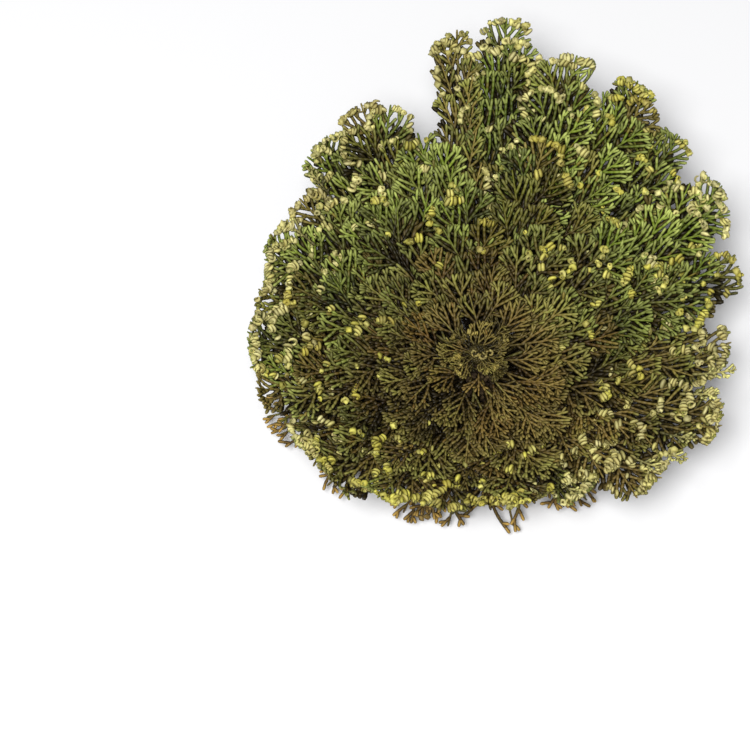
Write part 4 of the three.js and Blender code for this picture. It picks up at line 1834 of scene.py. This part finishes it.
@dataclass
class Heart(Part):
    """The youngest fronds, still rolled inwards round the middle, and the leafy button that they stand on."""

    base: float = FORM.crown_top + FORM.gap
    fronds: int = 10
    sprouts: int = 6  # more young fronds, as short as the shortest
    longest: float = 14.0
    shortest: float = 8.5
    raised: float = 1.2  # how high over the base the lowest begins
    step_up: float = 0.12  # from one to the next
    start: float = 1.5  # where they leave the button, from the axis
    roll: float = 70.0  # degrees
    roll_radius: float = 1.9
    reaches: Span = (0.85, 1.05)  # as shares of the usual
    first: float = 40.0  # the first one's azimuth
    astray: float = 7.0  # in degrees either way
    sweeps: Span = (-2.5, 2.5)
    tints: Span = (-0.5, 0.25)
    button_radius: float = 3.2
    button_height: float = 3.0
    button_rows: int = 7
    button_pitch: float = 0.8
    curls: tuple[tuple[float, float, float, float], ...] = (
        (-1.4, -1.1, 40.0, 0.9), (1.1, -2.1, 130.0, 1.0), (3.6, -1.0, 250.0, 0.8),
    )  # how far to the right of the axis and behind it, where round it each begins in degrees, and its radius
    curl_height: float = 3.7
    curl_joints: int = 8
    curl_turn: float = 310.0  # degrees

    def young_fronds(self) -> Iterator[Frond]:
        """Lays out the young fronds, as their solids are."""
        random = np.random.default_rng(33)
        for i in range(self.fronds + self.sprouts):
            level = self.base + self.raised + self.step_up * (i % self.fronds)
            share = min(1.0, i / (self.fronds - 1))
            reach = mix(self.longest, self.shortest, share) * random.uniform(*self.reaches)
            azimuth = self.first + i * GOLDEN_ANGLE + random.uniform(-self.astray, self.astray)
            midrib = Midrib.along_bowl(
                self.start, level, reach, radians(self.roll), self.roll_radius, azimuth,
                random.uniform(*self.sweeps),
            )
            yield Frond(
                f"young_frond_{i + 1}", midrib, YOUNG_SEED + i, self.moulds, fan_length=0.9 * reach,
                fan_half=0.42 * reach, side_fans=0, curled=0.25, size=0.62, tint=random.uniform(*self.tints),
                curl=0.9, growth=Growth(wander=70),
            )

    def button(self) -> list[Laid]:
        """Clothes the button in rows of scale leaves that point up and outwards."""
        foliage = Foliage.none_yet(self.moulds)
        random = np.random.default_rng(31)
        for row in range(self.button_rows):
            lean = mix(0.1, 1.45, row / (self.button_rows - 1))
            radius = self.button_radius * cos(lean)
            high = self.base + 0.3 + (self.button_height - 0.8) * sin(lean)
            count = max(4, round(tau * radius / self.button_pitch))
            for k in range(count):
                a = tau * (k + 0.5 * (row % 2)) / count
                foliage.joints.add(
                    round_axis(0.8 * radius, a, high), a, 0.35 + 0.5 * lean,
                    (0.55, 0.9, 1.5), (0.1, 0.0, 0.0, random.uniform(-1.0, -0.55), 0.3),
                )
        return foliage.laid(Upright())

    def coil(self) -> list[Laid]:
        """Lays the innermost curls flat on the button, one beside the other."""
        foliage = Foliage.none_yet(self.moulds)
        random = np.random.default_rng(32)
        for right, back, begins, radius in self.curls:
            for k in range(self.curl_joints):
                a = radians(begins + self.curl_turn * k / self.curl_joints)
                out = radius * mix(0.75, 1.25, k / self.curl_joints) * random.uniform(0.9, 1.1)
                high = self.base + self.curl_height + random.uniform(-0.3, 0.3)
                foliage.joints.add(
                    (right + out * cos(a), back + out * sin(a), high), a + pi / 2, 0.0,
                    (0.45 * radius, random.uniform(0.5, 0.85) * radius, 1.3 * radius),
                    (0.15, 0.75, random.uniform(0.35, 0.6), random.uniform(-0.5, 0.6), 0.5),
                )
        return foliage.laid(Upright())

    def build(self) -> None:
        """Grows, dresses and reports the heart."""
        laid = [part for frond in self.young_fronds() for part in frond.grow().laid()]
        piece = self.piece("heart_leaves", laid + self.button() + self.coil(), self.palette.young)
        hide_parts("heart")


# ---- The crown, the skirt and the roots ----------------------------------------------------------


def body_of(made: Thing, tint: float) -> Laid:
    """Reads a modelled body as copies are read, and removes its object.

    Args:
        made: The body's object, in object mode.
        tint: Its shade.

    Returns:
        Its vertices, triangles, looks and under values.
    """
    mould = Mould.taken_from(made)
    looks = np.tile(np.array([0, 0, 0, tint, 0, 1], np.float32), (len(mould.vertices), 1))
    return mould.vertices, mould.triangles, looks, np.zeros(len(mould.triangles), np.float32)


def roughened(made: Thing, coarse: float, depth: float) -> None:
    """Roughens a body's surface with applied subdivision and displacement.

    Args:
        made: The body, selected and active.
        coarse: The size of the lumps.
        depth: How far they stand out.
    """
    lumps = bpy.data.textures.new(f"{made.name} lumps", "CLOUDS")
    lumps.noise_scale = coarse
    lumps.noise_depth = 3
    displace = made.modifiers.new("lumps", "DISPLACE")
    displace.texture = lumps
    displace.texture_coords = "LOCAL"
    displace.strength = depth
    displace.mid_level = 0.5
    bpy.ops.object.modifier_apply(modifier=displace.name)


@dataclass
class Crown(Part):
    """The short woody crown, scaly with the stumps of old fronds."""

    rings: int = 14  # into which the barrel is cut
    sides: int = 40
    bark: float = 0.5  # how thick the bark outside the barrel is
    stump_rows: int = 15
    stump_pitch: float = 2.3

    def barrel(self) -> Laid:
        """Models the crown's tapered barrel."""
        deselect()
        height = FORM.crown_top - FORM.crown_base
        bpy.ops.mesh.primitive_cone_add(
            vertices=self.sides, radius1=FORM.crown_base_radius - self.bark,
            radius2=FORM.crown_top_radius - self.bark, depth=height, end_fill_type="TRIFAN",
            location=(0, 0, FORM.crown_base + height / 2),
        )
        barrel = bpy.context.object
        bpy.ops.object.transform_apply(location=True)
        bpy.ops.object.mode_set(mode="EDIT")
        for k in range(1, self.rings):
            bpy.ops.mesh.select_all(action="SELECT")
            cut = FORM.crown_base + height * k / self.rings
            bpy.ops.mesh.bisect(plane_co=(0, 0, cut), plane_no=(0, 0, 1))
        bpy.ops.object.mode_set(mode="OBJECT")
        roughened(barrel, coarse=1.6, depth=1.0)
        return body_of(barrel, -0.6)

    def stumps(self) -> list[Laid]:
        """Sets rows of stumps round the barrel, pointing up and outwards."""
        foliage = Foliage.none_yet(self.moulds)
        random = np.random.default_rng(41)
        for row in range(self.stump_rows):
            high = mix(FORM.crown_base + 0.6, FORM.crown_top - 1.6, row / (self.stump_rows - 1))
            radius = FORM.crown_radius(high) - 0.9
            count = round(tau * radius / self.stump_pitch)
            for k in range(count):
                a = tau * (k + 0.5 * (row % 2) + random.uniform(-0.2, 0.2)) / count
                foliage.joints.add(
                    round_axis(radius, a, high), a, random.uniform(0.5, 0.95),
                    (random.uniform(0.7, 1.05), random.uniform(1.1, 1.7), random.uniform(1.4, 2.2)),
                    (0.0, 0.0, 0.0, random.uniform(-0.8, 1.0), 0.0),
                )
        return foliage.laid(Upright())

    def build(self) -> None:
        """Models, dresses and reports the crown."""
        piece = self.piece("crown_bark", [self.barrel()] + self.stumps(), self.palette.wood)
        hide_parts("crown")


@dataclass
class Skirt(Part):
    """Last years' dead fronds, which hang from a collar of their old bases."""

    collar_low: float = 12.2
    collar_high: float = 14.4
    floor: float = 1.4
    dead: tuple[tuple[float, float], ...] = (
        (12, 52), (40, 50), (68, 54), (96, 50), (124, 52), (150, 56), (172, 62),
        (190, 72), (213, 62), (240, 52), (262, 50), (284, 51), (309, 55), (338, 59),
    )  # azimuth in degrees and reach in millimetres
    wiry: Growth = Growth(
        spacing=3.4, low_angle=48, high_angle=34, twig=8.5, fork=5.5, twig_angle=42, straighten=0.4,
        clearance=2.0, girth=0.78, stretch=0.9, least=2.0, wander=50,
    )
    collar_rows: int = 3
    collar_count: int = 40

    @property
    def inner(self) -> float:
        """The collar's inner radius."""
        return FORM.crown_base_radius + FORM.crown_knob + FORM.gap

    def fronds(self) -> Iterator[Frond]:
        """Lays out the dead fronds."""
        level = (self.collar_low + self.collar_high) / 2
        for i, (azimuth, reach) in enumerate(self.dead):
            sweep = 3.0 * sin(1.7 * i)
            midrib = Midrib.falling(self.inner + 1, level, reach, self.floor, azimuth, sweep)
            yield Frond(
                f"dead_frond_{i + 1}", midrib, DEAD_SEED + i, self.moulds, fan_length=0.6 * reach,
                fan_half=3.0 + 0.1 * reach, side_fans=2, side_step=9, spread=8, habit=Habit.DEAD, curled=0.15,
                tint=0.1, growth=self.wiry, tan_rib=0.0, curl=0.9, held_back=-1.5,
            )

    def collar(self) -> list[Laid]:
        """Packs the collar with the bases of old fronds, pointing outwards."""
        foliage = Foliage.none_yet(self.moulds)
        random = np.random.default_rng(51)
        for row in range(self.collar_rows):
            high = mix(self.collar_low + 0.5, self.collar_high - 0.5, row / (self.collar_rows - 1))
            for k in range(self.collar_count):
                a = tau * (k + 0.5 * (row % 2)) / self.collar_count
                foliage.joints.add(
                    round_axis(self.inner + 0.1, a, high), a, random.uniform(-0.2, 0.2),
                    (random.uniform(1.2, 1.6), random.uniform(1.2, 1.6), random.uniform(1.6, 2.2)),
                    (0.0, 0.0, 0.32, random.uniform(-0.7, 0.3), 0.0),
                )
        return foliage.laid(Upright())

    def build(self) -> None:
        """Grows, dresses and reports the skirt."""
        laid = [part for frond in self.fronds() for part in frond.grow().laid()]
        piece = self.piece("skirt_of_dead_fronds", laid + self.collar(), self.palette.dead)
        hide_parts("skirt")


@dataclass
class RootTuft(Part):
    """The felted mass of old roots that the plant stands on, with loose strands and longer roots."""

    long_roots: int = 26
    strands: int = 420
    thickness: float = 1.1
    foot: float = 0.02  # the height of the mound's flat foot
    sunk: float = 0.3  # how far its flat top is below the tuft's

    def mound(self) -> Laid:
        """Models the mound, flat underneath."""
        deselect()
        bpy.ops.mesh.primitive_uv_sphere_add(segments=56, ring_count=30, radius=1)
        mound = bpy.context.object
        mound.scale = (FORM.foot_radius, FORM.foot_radius, FORM.tuft_top - 0.2)
        bpy.ops.object.transform_apply(scale=True)
        roughened(mound, coarse=2.4, depth=1.6)
        self.flatten(mound)
        return body_of(mound, -0.8)

    def flatten(self, mound: Thing) -> None:
        """Presses the mound's foot flat onto the surface, and its top down to the crown's foot."""
        bpy.context.view_layer.objects.active = mound
        bpy.ops.object.mode_set(mode="EDIT")
        foot, top = self.foot, FORM.tuft_top - self.sunk
        for test, level in ((lambda co: co.z < foot, foot), (lambda co: co.z > top, top)):
            pick_vertices(test)
            bpy.ops.transform.resize(value=(1, 1, 0), center_override=(0, 0, level))
        bpy.ops.object.mode_set(mode="OBJECT")

    def root(self, roots: Copies, path: list[Vector], thick: float, tint: float) -> None:
        """Lays straight stretches along a root's path.

        Args:
            roots: The copies to add them to.
            path: Points along it.
            thick: Its thickness at its start.
            tint: Its shade.
        """
        for i, (here, there) in enumerate(zip(path, path[1:])):
            ahead = there - here
            girth = thick * mix(1.0, 0.4, i / len(path))
            roots.add(
                tuple(here), atan2(ahead.y, ahead.x), asin(ahead.z / ahead.length),
                (ahead.length, girth, girth), (0.0, 0.0, 0.0, tint, 0.0),
            )

    def strand_paths(self) -> Iterator[tuple[list[Vector], float]]:
        """Draws the loose strands over the mound, each from the crown's foot outwards and down."""
        random = np.random.default_rng(61)
        for k in range(self.strands):
            azimuth = k * GOLDEN_ANGLE + random.uniform(-8, 8)
            lift = random.uniform(-0.3, 0.7)
            start, end = random.uniform(0.1, 0.6), random.uniform(0.8, 1.0)
            twist = random.uniform(-26, 26)
            path = []
            for share in np.linspace(0, 1, 9):
                lean = mix(start, end, share) * pi / 2
                a = radians(azimuth + twist * share + 5 * sin(7 * share + k))
                out = (FORM.foot_radius + lift) * sin(lean) + random.uniform(-0.25, 0.25)
                high = max(0.35, (FORM.tuft_top - 0.7 + lift) * cos(lean) + random.uniform(-0.25, 0.25))
                path.append(Vector(round_axis(out, a, min(high, FORM.tuft_top - 0.4))))
            yield path, random.uniform(0.35, 0.75)

    def long_paths(self) -> Iterator[list[Vector]]:
        """Follows the roots that leave the mound close to the surface, as their solids do."""
        draw = draws(ROOT_DRAWS)
        random = np.random.default_rng(62)
        for i in range(self.long_roots):
            high = mix(1.6, 7, draw())
            reach = FORM.foot_radius + mix(5, 15, draw())
            bend = mix(-14, 14, draw())
            path = []
            for share in np.linspace(0, 1, 12):
                a = radians(i * GOLDEN_ANGLE + bend * share + random.uniform(-1.3, 1.3))
                out = mix(FORM.foot_radius - 6, reach, share)
                up = max(0.7, mix(high, 0.8, smooth(0, 0.75, share)) + random.uniform(-0.25, 0.25))
                path.append(Vector(round_axis(out, a, up)))
            yield path

    def build(self) -> None:
        """Models, dresses and reports the roots."""
        roots = Copies(self.moulds.strand)
        random = np.random.default_rng(63)
        for path, thick in self.strand_paths():
            self.root(roots, path, thick, random.uniform(-0.8, 1.0))
        for path in self.long_paths():
            self.root(roots, path, self.thickness, random.uniform(-0.5, 0.8))
        piece = self.piece("felted_roots", [self.mound(), roots.laid(Upright())], self.palette.roots)
        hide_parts("root_tuft")


# ---- The scene -----------------------------------------------------------------------------------


@dataclass
class Studio:
    """A plain pale floor, soft light and the camera."""

    look_down: float = 66.0  # degrees below the level
    distance: float = 700.0  # from the crown's middle
    crown_middle: float = 30.0  # its height
    field: float = 247.5  # width of the picture at that distance
    crown_right: float = 34.0  # how far right of the picture's middle the crown is
    crown_up: float = 5.6  # and how far above it
    sensor: float = 36.0
    floor_side: float = 6.0  # metres
    floor_drop: float = 0.0001  # how far it lies below the plant's foot, in metres
    floor_grey: tuple[float, ...] = (0.675, 0.675, 0.68, 1)
    floor_roughness: float = 0.9
    sky: tuple[float, ...] = (0.98, 0.98, 1.0, 1)
    sky_strength: float = 0.27
    lamp_place: Point = (-0.3, -0.62, 1.6)  # metres
    lamp_side: float = 0.67  # metres
    lamp_power: float = 44.5  # watts

    def camera(self) -> None:
        """Places the camera along the viewing direction."""
        data = bpy.data.cameras.new("camera")
        data.sensor_width = self.sensor
        data.lens = data.sensor_width * self.distance / self.field
        data.clip_start, data.clip_end = 0.01, 20.0
        camera = bpy.data.objects.new("camera", data)
        bpy.context.scene.collection.objects.link(camera)
        tilt = radians(self.look_down)
        ahead = Vector((0, cos(tilt), -sin(tilt)))
        upward = Vector((0, sin(tilt), cos(tilt)))
        target = Vector((-self.crown_right, 0, self.crown_middle)) - upward * self.crown_up
        camera.location = (target - ahead * self.distance) * MM
        camera.rotation_mode = "QUATERNION"
        camera.rotation_quaternion = ahead.to_track_quat("-Z", "Y")
        bpy.context.scene.camera = camera

    def floor(self) -> None:
        """Lays the floor."""
        deselect()
        bpy.ops.mesh.primitive_plane_add(size=self.floor_side, location=(0, 0, -self.floor_drop))
        floor = bpy.context.object
        floor.name = "floor"
        material = bpy.data.materials.new("pale floor")
        material.use_nodes = True
        shader = material.node_tree.nodes["Principled BSDF"]
        shader.inputs["Base Color"].default_value = self.floor_grey
        shader.inputs["Roughness"].default_value = self.floor_roughness
        floor.data.materials.append(material)

    def light(self) -> None:
        """Hangs the one soft light, which faces the plant."""
        data = bpy.data.lights.new("key light", "AREA")
        data.size = self.lamp_side
        data.energy = self.lamp_power
        lamp = bpy.data.objects.new("key light", data)
        bpy.context.scene.collection.objects.link(lamp)
        lamp.location = self.lamp_place
        lamp.rotation_mode = "QUATERNION"
        lamp.rotation_quaternion = (-Vector(self.lamp_place)).to_track_quat("-Z", "Y")

    def build(self) -> None:
        """Sets up the whole scene round the plant."""
        scene = bpy.context.scene
        scene.view_settings.view_transform = "Standard"
        world = bpy.data.worlds.new("soft light")
        scene.world = world
        world.use_nodes = True
        background = world.node_tree.nodes["Background"]
        background.inputs["Color"].default_value = self.sky
        background.inputs["Strength"].default_value = self.sky_strength
        self.camera()
        self.floor()
        self.light()


def main() -> None:
    """Builds the scene, then the plant piece by piece."""
    logging.basicConfig(level=logging.INFO, format="%(message)s")
    Studio().build()
    MOTTLING.build()
    palette = Palette()
    moulds = Moulds.modelled()
    RootTuft(palette, moulds).build()
    Crown(palette, moulds).build()
    Skirt(palette, moulds).build()
    Rosette(palette, moulds).build()
    Heart(palette, moulds).build()


if __name__ == "__main__":
    main()
